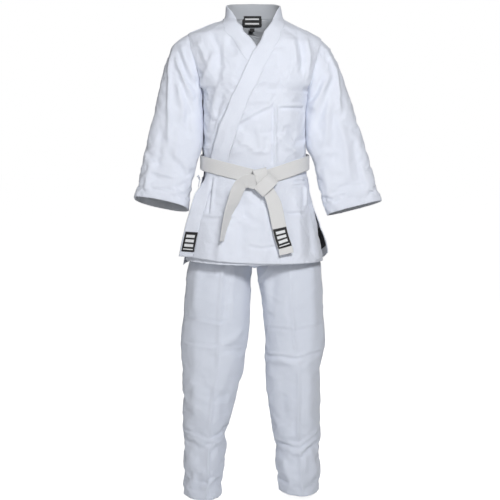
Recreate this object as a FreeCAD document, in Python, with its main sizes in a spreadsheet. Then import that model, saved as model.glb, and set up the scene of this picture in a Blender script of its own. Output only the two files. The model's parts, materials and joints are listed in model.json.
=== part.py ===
"""Karate uniform: wrapped jacket, tied belt and drawstring trousers, standing as if worn.

Millimetres, +Z up. The wearer faces -Y, so the wearer's left is +X. The origin is the middle of the
neck opening at the height where the jacket rests on the shoulders, and everything else hangs below it.

A cloth panel is a thin solid wrapped round the wearer. It is lofted through level slices, and each
slice runs round a superellipse between two angles: 0 is the left side, 90 the front, 180 the right
side and 270 the back. Sleeves and legs are tubes lofted through closed rings.
"""
import FreeCAD
import Part
import math
import os
import Sketcher

V = FreeCAD.Vector

DIMENSIONS = [
    # (alias, millimetres or degrees, what it is)
    ("cloth", 1.5, "thickness of one layer of cotton drill"),
    ("band", 3.0, "thickness of the folded collar band"),
    ("layer", 5.0, "how far the left front lies outside the right front"),
    ("layergap", 0.5, "clearance between layers that are sewn together"),
    ("seamgap", 1.0, "clearance between neighbouring panels along a seam"),
    ("neckwidth", 170.0, "width of the neck opening"),
    ("neckdepth", 124.0, "depth of the neck opening, front to back"),
    ("necklevel", -8.0, "height of the neck seam"),
    ("collartop", 40.0, "top of the standing back collar"),
    ("bandwidth", 45.0, "width of the collar band"),
    ("shoulderwidth", 378.0, "width across the shoulder seams"),
    ("shoulderlevel", -56.0, "height of the shoulder corners"),
    ("underarmwidth", 296.0, "width across the underarm points"),
    ("underarmlevel", -215.0, "height of the underarm points"),
    ("waistwidth", 290.0, "width of the jacket under the belt"),
    ("waistdepth", 202.0, "depth of the jacket under the belt"),
    ("waistlevel", -430.0, "height of the jacket's waist"),
    ("ventlevel", -497.0, "top of the two side vents"),
    ("hemwidth", 396.0, "width of the jacket at its hem"),
    ("hemdepth", 262.0, "depth of the jacket at its hem"),
    ("hemlevel", -700.0, "height of the outer front's hem"),
    ("underhem", -707.0, "height of the inner front's hem"),
    ("sleevedepth", 62.0, "half depth of a sleeve at the armhole"),
    ("cuffwidth", 158.0, "width of a cuff as it hangs"),
    ("cuffdepth", 42.0, "half depth of a cuff"),
    ("cuffhem", 42.0, "height of the turned-up cuff hem"),
    ("beltwidth", 40.0, "width of the belt"),
    ("beltlevel", -415.0, "height of the belt at the sides"),
    ("belttilt", 18.0, "degrees that the belt dips to the front"),
    ("beltcloth", 2.0, "thickness of one wrap of the belt"),
    ("knotx", 22.0, "how far the knot sits to the wearer's left"),
    ("knotlevel", -468.0, "height of the knot"),
    ("knotsize", 42.0, "side of the knot"),
    ("knotthick", 14.0, "thickness of the knot's core"),
    ("tailthick", 4.0, "thickness of a belt tail"),
    ("lefttail", 192.0, "length of the left tail"),
    ("righttail", 168.0, "length of the right tail"),
    ("patchwidth", 38.0, "width of a woven patch"),
    ("patchheight", 56.0, "height of a woven patch"),
    ("labelwidth", 56.0, "width of the neck label"),
    ("labelheight", 31.0, "height of the neck label"),
    ("labelcloth", 1.0, "thickness of a woven label"),
    ("tabwidth", 14.0, "width of the size tab"),
    ("tabheight", 10.0, "height of the size tab"),
    ("trouserwaist", 248.0, "width of the trousers at the waistband"),
    ("trouserdepth", 174.0, "depth of the trousers at the waistband"),
    ("trousertop", -412.0, "top of the waistband"),
    ("waistband", 40.0, "height of the waistband casing"),
    ("elastic", 30.0, "width of the elastic in the waistband"),
    ("eyelet", 4.0, "radius of a drawcord eyelet"),
    ("eyeletspread", 36.0, "distance between the two eyelets"),
    ("seatlevel", -690.0, "bottom edge of the trouser seat"),
    ("leglevel", -695.0, "top edge of the trouser legs, which swing about it"),
    ("thighdepth", 90.0, "half depth of a leg at the top"),
    ("ankledepth", 78.0, "half depth of a leg at its hem"),
    ("leghem", 35.0, "height of the turned-up leg hem"),
    ("gusset", 10.0, "width of the crotch gusset between the legs"),
]

doc = FreeCAD.newDocument("uniform")
sheet = doc.addObject("Spreadsheet::Sheet", "dims")
for row, (alias, value, note) in enumerate(DIMENSIONS, 1):
    sheet.set(f"A{row}", alias)
    sheet.set(f"B{row}", str(value))
    sheet.set(f"C{row}", note)
    sheet.setAlias(f"B{row}", alias)
doc.recompute()


def dim(alias):
    """A driving dimension, as a number."""
    return float(sheet.get(alias))


nodes = []


def keep(thing, label):
    """Names a finished sub-part and puts it on the list to export."""
    thing.Label = label
    nodes.append(thing)
    return thing


def blend_table(table, z):
    """The row of numbers at height z in a table whose rows start with falling heights."""
    if z >= table[0][0]:
        return table[0][1:]
    for upper, lower in zip(table, table[1:]):
        if z >= lower[0]:
            share = (upper[0] - z) / (upper[0] - lower[0])
            return tuple(p + (q - p) * share for p, q in zip(upper[1:], lower[1:]))
    return table[-1][1:]


# Half width, half depth and squareness of the jacket's inner surface, from the collar down.
JACKET = [
    (dim("collartop"), 74, 56, 2.2),
    (dim("necklevel"), dim("neckwidth") / 2, dim("neckdepth") / 2, 2.2),
    (-36, 146, 70, 2.4),
    (dim("shoulderlevel"), dim("shoulderwidth") / 2, 78, 2.5),
    (-80, 201, 92, 2.5),
    (-110, 199, 106, 2.5),
    (-150, 184, 115, 2.5),
    (-190, 164, 119, 2.5),
    (dim("underarmlevel"), dim("underarmwidth") / 2, 119, 2.4),
    (-300, 146, 113, 2.3),
    (-380, 145, 106, 2.2),
    (dim("waistlevel"), dim("waistwidth") / 2, dim("waistdepth") / 2, 2.2),
    (dim("ventlevel"), 160, 110, 2.3),
    (-600, 184, 120, 2.4),
    (dim("underhem"), dim("hemwidth") / 2, dim("hemdepth") / 2, 2.5),
]
# The same for the trouser seat, from the waistband down.
SEAT = [
    (dim("trousertop"), dim("trouserwaist") / 2, dim("trouserdepth") / 2, 2.4),
    (-455, 125, 90, 2.4),
    (-550, 146, 103, 2.6),
    (-640, 173, 109, 2.8),
    (dim("seatlevel"), 186, 111, 2.8),
]
# Angle of the left front's leading edge. The right front is its mirror image.
LEADING_EDGE = [
    (dim("collartop"), 24),
    (27, 33),
    (dim("necklevel"), 62),
    (-36, 81),
    (dim("shoulderlevel"), 86),
    (-90, 89.3),
    (-294, 117.3),
    (-400, 137),
    (-450, 154),
    (-520, 168),
    (-590, 175),
    (dim("underhem"), 177),
]
UPPER_SLICES = [-10, -22, -36, -46, -56, -62, -70, -80, -95, -110, -130, -150, -170, -190, -200,
                -208, -215, -230, -260, -300, -340, -380, -430, -470]
SKIRT_SLICES = [-500, -550, -600, -650]
COLLAR_SLICES = [30, 15, 2, -8, -22, -36, -56, -80, -110, -150, -200, -250, -300, -340, -380, -410,
                 -440, -470]


def ease(share):
    """A smooth step from 0 to 1."""
    share = min(1.0, max(0.0, share))
    return share * share * (3 - 2 * share)


def outer_layer(degrees):
    """The left front starts level with the back at its side seam and crosses outside the right."""
    return dim("layer") * ease(degrees / 90.0)


def inner_layer(degrees):
    """The right front lies the same distance inside the left front all the way."""
    return dim("layer") * (ease(degrees / 90.0) - 1)


def offset_at(offset, degrees):
    return offset(degrees) if callable(offset) else offset


def round_wearer(table, z, degrees, offset):
    """The point at that height and angle, offset outwards from the table's surface.

    The offset is a length, or a function that gives one for each angle.
    """
    offset = offset_at(offset, degrees)
    half_width, half_depth, squareness = blend_table(table, z)
    c, s = math.cos(math.radians(degrees)), math.sin(math.radians(degrees))
    power = 2.0 / squareness
    x = math.copysign(abs(c) ** power, c) * (half_width + offset)
    y = -math.copysign(abs(s) ** power, s) * (half_depth + offset)
    return V(x, y, z)


def along_surface(table, z, degrees, distance, offset=0.0):
    """The angle reached by going that far round the surface; a negative distance goes back."""
    step = math.copysign(0.25, distance)
    here, gone = round_wearer(table, z, degrees, offset), 0.0
    while gone < abs(distance):
        degrees += step
        there = round_wearer(table, z, degrees, offset)
        gone += (there - here).Length
        here = there
    return degrees


def curve_through(points):
    curve = Part.BSplineCurve()
    curve.interpolate(points)
    return curve.toShape()


def slice_wire(table, z, start, end, offset, low, high):
    """One closed slice of a panel, whose cloth lies between low and high beyond the offset."""
    count = 11
    angles = [start + (end - start) * i / (count - 1) for i in range(count)]
    outside = [round_wearer(table, z, t, offset_at(offset, t) + high) for t in angles]
    inside = [round_wearer(table, z, t, offset_at(offset, t) + low) for t in reversed(angles)]
    return Part.Wire([
        curve_through(outside),
        Part.makeLine(outside[-1], inside[0]),
        curve_through(inside),
        Part.makeLine(inside[-1], outside[0]),
    ])


def panel(label, table, slices, offset, thickness):
    """A cloth panel that far outside the table. slices holds (height, start angle, end angle)."""
    wires = []
    for z, start, end in slices:
        # The cloth lies nearly flat over the shoulders, so a level slice through it is wider there.
        extra = 2.0 if dim("necklevel") > z > dim("shoulderlevel") - 8 else 0.0
        wires.append(slice_wire(table, z, start, end, offset, -extra, thickness))
    piece = doc.addObject("Part::Feature", label)
    piece.Shape = Part.makeLoft(wires, True, True)
    return keep(piece, label)


def armhole_angle(z, offset=0.0):
    """Where the armhole seam's plane cuts the jacket, as an angle from the wearer's left side."""
    top, bottom = dim("shoulderlevel"), dim("underarmlevel")
    if not bottom < z < top:
        return 0.0
    share = (top - z) / (top - bottom)
    seam = (dim("shoulderwidth") + (dim("underarmwidth") - dim("shoulderwidth")) * share) / 2
    half_width, _, squareness = blend_table(JACKET, z)
    share = seam / (half_width + offset)
    return math.degrees(math.acos(min(1.0, share ** (squareness / 2))))


def leading_edge(z):
    return blend_table(LEADING_EDGE, z)[0]


def band_seam(z):
    """The angle of the seam between the left front and its collar band."""
    if z > dim("necklevel") + 1:
        return 0.0
    return max(0.0, along_surface(JACKET, z, leading_edge(z), -dim("bandwidth"), outer_layer))


SEAM_ANGLE = 0.6


def seam_clear(z, raised=0.0):
    """The angle by which a panel stops short of a side seam or an armhole."""
    return armhole_angle(z, dim("cloth") + raised) + SEAM_ANGLE


def mirrored(slices):
    """The same slices on the wearer's other side."""
    return [(z, 180 - end, 180 - start) for z, start, end in slices]


# ---- Jacket ---------------------------------------------------------------------------------

def front_slices(bottom):
    heights = UPPER_SLICES + SKIRT_SLICES + [bottom]
    found = []
    for z in heights:
        vent = 1.5 if z < dim("ventlevel") else 0.0
        start = seam_clear(z, dim("layer") / 4) + vent
        found.append((z, start, max(start + 4.0, band_seam(z) - SEAM_ANGLE)))
    return found


def band_slices(bottom):
    heights = COLLAR_SLICES + SKIRT_SLICES + [bottom]
    return [(z, band_seam(z) + SEAM_ANGLE, leading_edge(z)) for z in heights]


def make_fronts():
    cloth, band = dim("cloth"), dim("band")
    outer, under = dim("hemlevel"), dim("underhem")
    panel("left_front", JACKET, front_slices(outer), outer_layer, cloth)
    panel("left_collar_band", JACKET, band_slices(outer), outer_layer, band)
    panel("right_front", JACKET, mirrored(front_slices(under)), inner_layer, cloth)
    panel("right_collar_band", JACKET, mirrored(band_slices(under)), inner_layer, band)


def make_back():
    """Two back halves down to the vents, the skirt below them, and the standing back collar."""
    upper = [z for z in UPPER_SLICES if z > dim("ventlevel")] + [dim("ventlevel") + 3]
    left = [(z, 270 + SEAM_ANGLE / 2, 360 - seam_clear(z)) for z in upper]
    panel("left_back", JACKET, left, 0, dim("cloth"))
    right = [(z, 540 - end, 540 - start) for z, start, end in left]
    panel("right_back", JACKET, right, 0, dim("cloth"))
    vent = 3.0
    skirt = [dim("ventlevel") - 3] + SKIRT_SLICES[1:] + [dim("underhem")]
    left = [(z, 270 + SEAM_ANGLE / 2, 360 - vent) for z in skirt]
    under = -2.0
    panel("left_back_skirt", JACKET, left, under, dim("cloth"))
    right = [(z, 540 - end, 540 - start) for z, start, end in left]
    panel("right_back_skirt", JACKET, right, under, dim("cloth"))
    collar = [(z, 180 + SEAM_ANGLE, 360 - SEAM_ANGLE)
              for z in (dim("collartop"), 30, 15, dim("necklevel") + 2)]
    panel("back_collar", JACKET, collar, 0, dim("band"))


def make_vent_patches():
    """The doubled squares that stop the vents tearing, just below the belt."""
    half, top, bottom = 9.0, -456.0, -488.0
    offset = dim("cloth") + dim("layergap")
    for label, middle in (("left_vent_patch", 0.0), ("right_vent_patch", 180.0)):
        slices = [(z, middle - half, middle + half) for z in (top, bottom)]
        panel(label, JACKET, slices, offset, dim("cloth"))


def patch_slices(top, height, middle):
    """A patch of the usual width whose middle is at that angle."""
    half = dim("patchwidth") / 2
    found = []
    for z in (top, top - height / 2, top - height):
        found.append((z, along_surface(JACKET, z, middle, -half, dim("layer")),
                      along_surface(JACKET, z, middle, half, dim("layer"))))
    return found


def make_patches():
    """Woven patches on the leading edge's lower corner and inside the back skirt's left edge."""
    offset = dim("layer") + dim("band") + dim("layergap")
    panel("hem_patch", JACKET, patch_slices(-614, dim("patchheight"), 154), offset,
          dim("labelcloth"))
    inside = -2.0 - dim("labelcloth") - dim("layergap")
    slices = [(z, 338, 354) for z in (-612, -636, -660)]
    panel("vent_label", JACKET, slices, inside, dim("labelcloth"))


def make_side_tie():
    """The knotted ties that hold the wrap shut at the wearer's right hip, below the belt."""
    offset = 2 * (dim("cloth") + dim("layergap"))
    slices = [(z, 169, 179) for z in (-452, -462, -476)]
    panel("side_tie_knot", JACKET, slices, offset, 6.0)


# ---- Tubes: sleeves, legs, belt and waistband -----------------------------------------------

def ring(label, points):
    """A closed section through points, as an object of the document."""
    curve = Part.BSplineCurve()
    curve.interpolate(points, PeriodicFlag=True)
    section = doc.addObject("Part::Feature", label)
    section.Shape = Part.Wire([curve.toShape()])
    return section


def tube(label, outer_rings, inner_rings, straight=False):
    """A wall between two lofts, from lists of rings of points, straight or smooth along it."""
    solids = []
    for kind, rings in (("outside", outer_rings), ("inside", inner_rings)):
        loft = doc.addObject("Part::Loft", f"{label}_{kind}")
        loft.Sections = [ring(f"{label}_{kind}_{i}", points) for i, points in enumerate(rings)]
        loft.Solid = True
        loft.Ruled = straight
        solids.append(loft)
    wall = doc.addObject("Part::Cut", label)
    wall.Base, wall.Tool = solids
    return wall


def slab(label, length, width, height, middle, turn):
    """A box with its centre at middle."""
    box = doc.addObject("Part::Box", f"{label}_slab")
    box.Length, box.Width, box.Height = length, width, height
    corner = turn.multVec(V(-length / 2, -width / 2, -height / 2))
    box.Placement = FreeCAD.Placement(middle + corner, turn)
    return box


def part_inside(label, piece, box):
    """The part of a piece that lies inside a box."""
    kept = doc.addObject("Part::MultiCommon", label)
    kept.Shapes = [piece, box]
    return keep(kept, label)


def oval(centre, across, along, half_across, half_along, count=16):
    """Points round an oval with its centre and its two half axes."""
    found = []
    for i in range(count):
        turn = 2 * math.pi * i / count
        found.append(centre + across * (half_across * math.cos(turn))
                     + along * (half_along * math.sin(turn)))
    return found


class SleeveLine:
    """The rings of one sleeve, from its armhole to its cuff."""

    def __init__(self, side, cuff_inner, cuff_outer, cuff_forward):
        self.side = side
        clear = 2.5
        gap = V(clear * side, 0, 0)
        shoulder = V(side * dim("shoulderwidth") / 2, 0, dim("shoulderlevel")) + gap
        underarm = V(side * dim("underarmwidth") / 2, 0, dim("underarmlevel")) + gap
        elbow_inner, elbow_outer = V(side * 159, 0, -350), V(side * 290, 0, -300)
        inner, outer = V(*cuff_inner), V(*cuff_outer)
        # (inner edge, outer edge, half depth, share of the forward lean)
        self.stations = [
            (underarm, shoulder, dim("sleevedepth"), 0.0),
            (V(side * 154, 0, -238), V(side * 222, 0, -86), 66.0, 0.02),
            (V(side * 156, 0, -268), V(side * 248, 0, -150), 66.0, 0.08),
            (V(side * 157, 0, -310), V(side * 270, 0, -228), 62.0, 0.19),
            (elbow_inner, elbow_outer, 58.0, 0.32),
            (elbow_inner * 0.55 + inner * 0.45, elbow_outer * 0.55 + outer * 0.45, 50.0, 0.62),
            (inner, outer, dim("cuffdepth"), 1.0),
        ]
        self.lean = V(0, cuff_forward, 0)

    def rings(self, inset):
        """The rings of points, moved inwards by inset."""
        found = []
        for low, high, half_depth, share in self.stations:
            tilt = math.radians(14) * share
            middle = (low + high) * 0.5 + self.lean * share
            across = (high - low).normalize()
            down = V(across.z * self.side, 0, -across.x * self.side)
            along = V(0, math.cos(tilt), 0) + down * math.sin(tilt)
            half = (high - low).Length / 2 - inset
            found.append(oval(middle, across, along, half, half_depth - inset))
        return found

    def cuff_slab(self, height):
        """A box that holds the last stretch of the sleeve, square to its cuff."""
        (low, high, _, share), (before_low, before_high, _, before) = self.stations[-1:-3:-1]
        middle = (low + high) * 0.5 + self.lean * share
        run = ((before_low + before_high) * 0.5 + self.lean * before - middle).normalize()
        turn = FreeCAD.Rotation(V(0, 0, 1), run)
        return slab(f"cuff_{self.side}", 300.0, 300.0, 2 * height, middle, turn)


SLEEVES = {
    "left": SleeveLine(1, (212, 0, -561), (360, 0, -517), -40),
    "right": SleeveLine(-1, (-189, 0, -546), (-338, 0, -514), -40),
}


def make_sleeves():
    cloth = dim("cloth")
    for side, line in SLEEVES.items():
        keep(tube(f"{side}_sleeve", line.rings(0), line.rings(cloth)), f"{side}_sleeve")
        inset = cloth + dim("layergap")
        facing = tube(f"{side}_facing", line.rings(inset), line.rings(inset + cloth))
        part_inside(f"{side}_cuff_hem", facing, line.cuff_slab(dim("cuffhem")))


def level_rings(table, heights, offset, further=0.0, count=36):
    """Level rings round the wearer, that much further out than the offset."""
    rings = []
    for z in heights:
        angles = [360.0 * i / count for i in range(count)]
        rings.append([round_wearer(table, z, t, offset_at(offset, t) + further) for t in angles])
    return rings


def over_the_wrap(degrees):
    """Clear of one layer at the back, and of both fronts and their bands at the front."""
    back, front = dim("cloth") + 1.5, dim("layer") + dim("band") + 1.5
    rise = ease(degrees / 70.0) if degrees < 90 else ease((195.0 - degrees) / 35.0)
    return back + (front - back) * rise


def make_belt():
    """Two wraps of the belt, each cut from a tube round the waist by one tilted slab."""
    heights = (-300, -380, dim("waistlevel"), dim("ventlevel"), -600)
    turn = FreeCAD.Rotation(V(1, 0, 0), dim("belttilt"))
    out = 0.0
    for label in ("belt_inner_wrap", "belt_outer_wrap"):
        walls = [level_rings(JACKET, heights, over_the_wrap, out + thick)
                 for thick in (dim("beltcloth"), 0.0)]
        box = slab(label, 600.0, 600.0, dim("beltwidth"), V(0, 0, dim("beltlevel")), turn)
        part_inside(label, tube(f"{label}_tube", *walls, straight=True), box)
        out += dim("beltcloth") + dim("layergap")


LEGS = {
    # (height, inner edge, outer edge, half depth), from the crotch to the hem
    "right": [
        (dim("leglevel"), -8, -181, dim("thighdepth")),
        (-740, -9, -189, dim("thighdepth")),
        (-813, -11, -200, 89),
        (-931, -21, -210, 85),
        (-1059, -44, -207, 80),
        (-1139, -63, -206, 77),
        (-1217, -82, -203, 76),
        (-1385, -98, -207, dim("ankledepth")),
    ],
    "left": [
        (dim("leglevel"), 13, 181, dim("thighdepth")),
        (-740, 16, 190, dim("thighdepth")),
        (-813, 23, 199, 89),
        (-902, 29, 204, 86),
        (-996, 34, 195, 83),
        (-1139, 46, 191, 77),
        (-1229, 62, 189, 76),
        (-1374, 72, 190, dim("ankledepth")),
    ],
}
LEG_BACK = 3.0


def leg_rings(stations, inset):
    found = []
    for z, near, far, half_depth in stations:
        middle = V((near + far) / 2.0, LEG_BACK, z)
        found.append(oval(middle, V(1, 0, 0), V(0, 1, 0), abs(far - near) / 2.0 - inset,
                          half_depth - inset))
    return found


def make_legs():
    cloth = dim("cloth")
    for side, stations in LEGS.items():
        keep(tube(f"{side}_leg", leg_rings(stations, 0), leg_rings(stations, cloth), True),
             f"{side}_leg")
        inset = cloth + dim("layergap")
        facing = tube(f"{side}_leg_facing", leg_rings(stations, inset),
                      leg_rings(stations, inset + cloth), True)
        bottom = V(0, 0, stations[-1][0])
        box = slab(f"{side}_leg", 900.0, 600.0, 2 * dim("leghem"), bottom, FreeCAD.Rotation())
        part_inside(f"{side}_leg_hem", facing, box)


def make_seat():
    """The seat's four panels and the waistband with its elastic and two drawcord eyelets."""
    top = dim("trousertop") - dim("waistband") - dim("seamgap")
    heights = (top, -500, -550, -600, -640, dim("seatlevel"))
    quarters = {
        "left_seat_front": (SEAM_ANGLE, 90 - SEAM_ANGLE),
        "right_seat_front": (90 + SEAM_ANGLE, 180 - SEAM_ANGLE),
        "right_seat_back": (180 + SEAM_ANGLE, 270 - SEAM_ANGLE),
        "left_seat_back": (270 + SEAM_ANGLE, 360 - SEAM_ANGLE),
    }
    for label, (start, end) in quarters.items():
        panel(label, SEAT, [(z, start, end) for z in heights], 0, dim("cloth"))
    cloth, gap, stretch = dim("cloth"), dim("layergap"), 2.0
    low, high = dim("trousertop") - dim("waistband"), dim("trousertop")
    spare = (dim("waistband") - dim("elastic")) / 2
    inner = -cloth - gap - stretch
    inside = tube("waistband_lining", level_rings(SEAT, (high, low), inner),
                  level_rings(SEAT, (high, low), inner - cloth))
    keep(inside, "waistband_lining")
    band = tube("waist_elastic", level_rings(SEAT, (high - spare, low + spare), -gap),
                level_rings(SEAT, (high - spare, low + spare), -gap - stretch + gap))
    keep(band, "waist_elastic")
    outside = tube("waistband_ring", level_rings(SEAT, (high, low), cloth),
                   level_rings(SEAT, (high, low), 0))
    drills = []
    for sign in (-1, 1):
        drill = doc.addObject("Part::Cylinder", "eyelet_drill")
        drill.setExpression("Radius", "dims.eyelet")
        drill.Height = 40.0
        drill.Placement = FreeCAD.Placement(
            V(sign * dim("eyeletspread") / 2, -dim("trouserdepth") / 2 + 15, (low + high) / 2),
            FreeCAD.Rotation(V(1, 0, 0), 90))
        drills.append(drill)
    both = doc.addObject("Part::MultiFuse", "eyelet_drills")
    both.Shapes = drills
    pierced = doc.addObject("Part::Cut", "waistband")
    pierced.Base, pierced.Tool = outside, both
    keep(pierced, "waistband")


# ---- Bodies made from sketches --------------------------------------------------------------

def origin_plane(body, role):
    return next(f for f in body.Origin.OriginFeatures if f.Role == role)


def rectangle_body(label, width, height, thick, place, rounding=0.0):
    """A padded rectangle in the XZ plane, its sides bound to cells. It grows towards -Y."""
    body = doc.addObject("PartDesign::Body", label)
    sketch = body.newObject("Sketcher::SketchObject", f"{label}_outline")
    sketch.AttachmentSupport = [(origin_plane(body, "XZ_Plane"), "")]
    sketch.MapMode = "FlatFace"
    w, h = dim(width) / 2, dim(height) / 2
    corners = [V(-w, -h, 0), V(w, -h, 0), V(w, h, 0), V(-w, h, 0)]
    for i in range(4):
        sketch.addGeometry(Part.LineSegment(corners[i], corners[(i + 1) % 4]), False)
    for i in range(4):
        sketch.addConstraint(Sketcher.Constraint("Coincident", i, 2, (i + 1) % 4, 1))
    for i, way in enumerate(("Horizontal", "Vertical", "Horizontal", "Vertical")):
        sketch.addConstraint(Sketcher.Constraint(way, i))
    sketch.addConstraint(Sketcher.Constraint("Symmetric", 0, 1, 1, 2, -1, 1))
    wide = sketch.addConstraint(Sketcher.Constraint("DistanceX", 0, 1, 0, 2, 2 * w))
    tall = sketch.addConstraint(Sketcher.Constraint("DistanceY", 1, 1, 1, 2, 2 * h))
    sketch.renameConstraint(wide, "wide")
    sketch.renameConstraint(tall, "tall")
    sketch.setExpression("Constraints.wide", f"dims.{width}")
    sketch.setExpression("Constraints.tall", f"dims.{height}")
    pad = body.newObject("PartDesign::Pad", f"{label}_pad")
    pad.Profile = sketch
    pad.setExpression("Length", f"dims.{thick}")
    doc.recompute()
    if rounding:
        fillet = body.newObject("PartDesign::Fillet", f"{label}_rounding")
        edges = [f"Edge{i + 1}" for i in range(len(pad.Shape.Edges))]
        fillet.Base = (pad, edges)
        fillet.Radius = rounding
        doc.recompute()
    body.Placement = place
    return keep(body, label)


def front_of_belt(z):
    """How far forward the belt's outer wrap reaches at that height."""
    _, half_depth, _ = blend_table(JACKET, z)
    return half_depth + over_the_wrap(90.0) + 2 * dim("beltcloth") + dim("layergap")


def make_knot():
    """The knot's core, the diagonal wrap on its front and the loop over the belt's top edge."""
    x, z = dim("knotx"), dim("knotlevel")
    back = -front_of_belt(z) - 1.0
    flat = FreeCAD.Rotation()
    rectangle_body("knot_core", "knotsize", "knotsize", "knotthick",
                   FreeCAD.Placement(V(x, back, z), flat), rounding=4.0)
    front = back - dim("knotthick") - 0.5
    turned = FreeCAD.Rotation(V(0, 1, 0), 45)
    rectangle_body("knot_wrap", "knotsize", "beltwidth", "tailthick",
                   FreeCAD.Placement(V(x, front, z - 2), turned), rounding=1.5)


def tail_body(label, length, hinge, lean, forward, twist):
    """A flat tail hanging from its hinge: leaning sideways and forwards, and twisted."""
    body = rectangle_body(label, "beltwidth", length, "tailthick", FreeCAD.Placement(),
                          rounding=1.2)
    down = (FreeCAD.Rotation(V(0, 1, 0), lean) * FreeCAD.Rotation(V(1, 0, 0), -forward)
            * FreeCAD.Rotation(V(0, 0, 1), twist))
    half = V(0, dim("tailthick") / 2, -dim(length) / 2)
    body.Placement = FreeCAD.Placement(hinge + down.multVec(half), down)
    return down


def make_tails():
    depth = front_of_belt(dim("knotlevel")) + dim("knotthick") / 2 + 1.0
    low = dim("knotlevel") - dim("knotsize") / 2 - 11.5
    left = V(dim("knotx") + 8, -depth - 2, low)
    turn = tail_body("left_tail", "lefttail", left, -19, 5, 0)
    patch_drop = dim("lefttail") - dim("patchheight") / 2 - 18
    place = turn.multVec(V(0, -dim("tailthick") / 2 - 0.4, -patch_drop))
    rectangle_body("tail_patch", "patchwidth", "patchheight", "labelcloth",
                   FreeCAD.Placement(left + place, turn))
    right = V(dim("knotx") - 30, -depth - 12, low + 13.5)
    tail_body("right_tail", "righttail", right, 27, 4, 45)


def make_labels():
    inside = dim("neckdepth") / 2 - 4.0
    middle = dim("necklevel") - 4
    straight = FreeCAD.Rotation()
    rectangle_body("neck_label", "labelwidth", "labelheight", "labelcloth",
                   FreeCAD.Placement(V(0, inside, middle), straight))
    drop = dim("labelheight") / 2 + dim("tabheight") / 2 + 1.5
    rectangle_body("size_tab", "tabwidth", "tabheight", "labelcloth",
                   FreeCAD.Placement(V(0, inside, middle - drop), straight))


def make_gusset():
    """The strip between the legs: a sling that hangs from the seat's front and back edges."""
    body = doc.addObject("PartDesign::Body", "crotch_gusset")
    sketch = body.newObject("Sketcher::SketchObject", "gusset_profile")
    sketch.AttachmentSupport = [(origin_plane(body, "YZ_Plane"), "")]
    sketch.MapMode = "FlatFace"
    reach, top, sag = 108.0, dim("seatlevel") - 1.5, 32.0
    cloth = dim("cloth")
    outer = Part.Arc(V(-reach, top, 0), V(0, top - sag, 0), V(reach, top, 0))
    inner = Part.Arc(V(-reach + 4 * cloth, top, 0), V(0, top - sag + cloth, 0),
                     V(reach - 4 * cloth, top, 0))
    ends = [(-reach + 4 * cloth, -reach), (reach - 4 * cloth, reach)]
    for curve in (outer, inner):
        sketch.addGeometry(curve, False)
    for near, far in ends:
        sketch.addGeometry(Part.LineSegment(V(near, top, 0), V(far, top, 0)), False)
    pad = body.newObject("PartDesign::Pad", "gusset_pad")
    pad.Profile = sketch
    pad.setExpression("Length", "dims.gusset")
    body.Placement = FreeCAD.Placement(V(-3, 0, 0), FreeCAD.Rotation())
    keep(body, "crotch_gusset")


make_fronts()
make_back()
make_vent_patches()
make_patches()
make_side_tie()
make_sleeves()
make_belt()
make_knot()
make_tails()
make_labels()
make_seat()
make_legs()
make_gusset()
doc.recompute()

for thing in doc.Objects:
    if "Invalid" in thing.State or "Error" in thing.State:
        raise RuntimeError(f"{thing.Label} did not build: {thing.State}")
for thing in nodes:
    shape = thing.Shape
    if shape.isNull() or not shape.isValid() or not shape.Solids:
        raise RuntimeError(f"{thing.Label} has no valid solid")

os.makedirs("parts", exist_ok=True)
for thing in nodes:
    thing.Shape.exportStep(f"parts/{thing.Label}.step")
    box = thing.Shape.BoundBox
    print(f"{thing.Label:20s} {thing.Shape.Volume / 1000:9.2f} cm3"
          f"  x {box.XMin:7.1f} {box.XMax:7.1f}  y {box.YMin:7.1f} {box.YMax:7.1f}"
          f"  z {box.ZMin:8.1f} {box.ZMax:8.1f}")
print(len(nodes), "sub-parts")
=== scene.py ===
"""A white martial arts uniform on an unseen wearer: jacket, tied belt and trousers.

Lengths in the tables are millimetres in the model's frame: z = 0 at the neck seam, the front
faces -Y and +X is the wearer's left. Sheets are built as grids of points, folded, settled by a
short cloth simulation, and then given their thickness.
"""
import json
import math

import bpy
import numpy as np
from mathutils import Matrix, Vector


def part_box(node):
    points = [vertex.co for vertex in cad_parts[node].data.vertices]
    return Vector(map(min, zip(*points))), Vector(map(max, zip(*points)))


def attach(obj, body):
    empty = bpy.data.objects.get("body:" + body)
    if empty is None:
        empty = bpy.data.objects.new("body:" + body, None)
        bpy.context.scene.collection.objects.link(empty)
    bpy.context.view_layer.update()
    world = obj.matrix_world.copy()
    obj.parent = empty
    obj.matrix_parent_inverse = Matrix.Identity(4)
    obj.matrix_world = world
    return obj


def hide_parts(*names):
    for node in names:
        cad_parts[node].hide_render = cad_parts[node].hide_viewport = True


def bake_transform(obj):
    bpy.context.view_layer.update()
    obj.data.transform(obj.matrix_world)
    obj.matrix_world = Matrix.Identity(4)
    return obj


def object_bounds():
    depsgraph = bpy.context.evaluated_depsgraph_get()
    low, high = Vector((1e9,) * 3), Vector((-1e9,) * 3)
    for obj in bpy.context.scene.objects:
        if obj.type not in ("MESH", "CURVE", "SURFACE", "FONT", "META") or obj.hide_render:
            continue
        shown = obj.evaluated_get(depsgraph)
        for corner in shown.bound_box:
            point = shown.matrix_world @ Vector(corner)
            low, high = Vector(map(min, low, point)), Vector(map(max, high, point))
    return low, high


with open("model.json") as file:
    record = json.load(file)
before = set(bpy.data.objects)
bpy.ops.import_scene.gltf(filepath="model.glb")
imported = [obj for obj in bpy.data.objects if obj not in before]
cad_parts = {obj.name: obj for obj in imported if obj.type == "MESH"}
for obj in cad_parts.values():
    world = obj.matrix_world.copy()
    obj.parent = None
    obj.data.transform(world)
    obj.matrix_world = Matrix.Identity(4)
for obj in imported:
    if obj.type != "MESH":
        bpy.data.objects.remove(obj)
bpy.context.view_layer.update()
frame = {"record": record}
MM = 0.001
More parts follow.
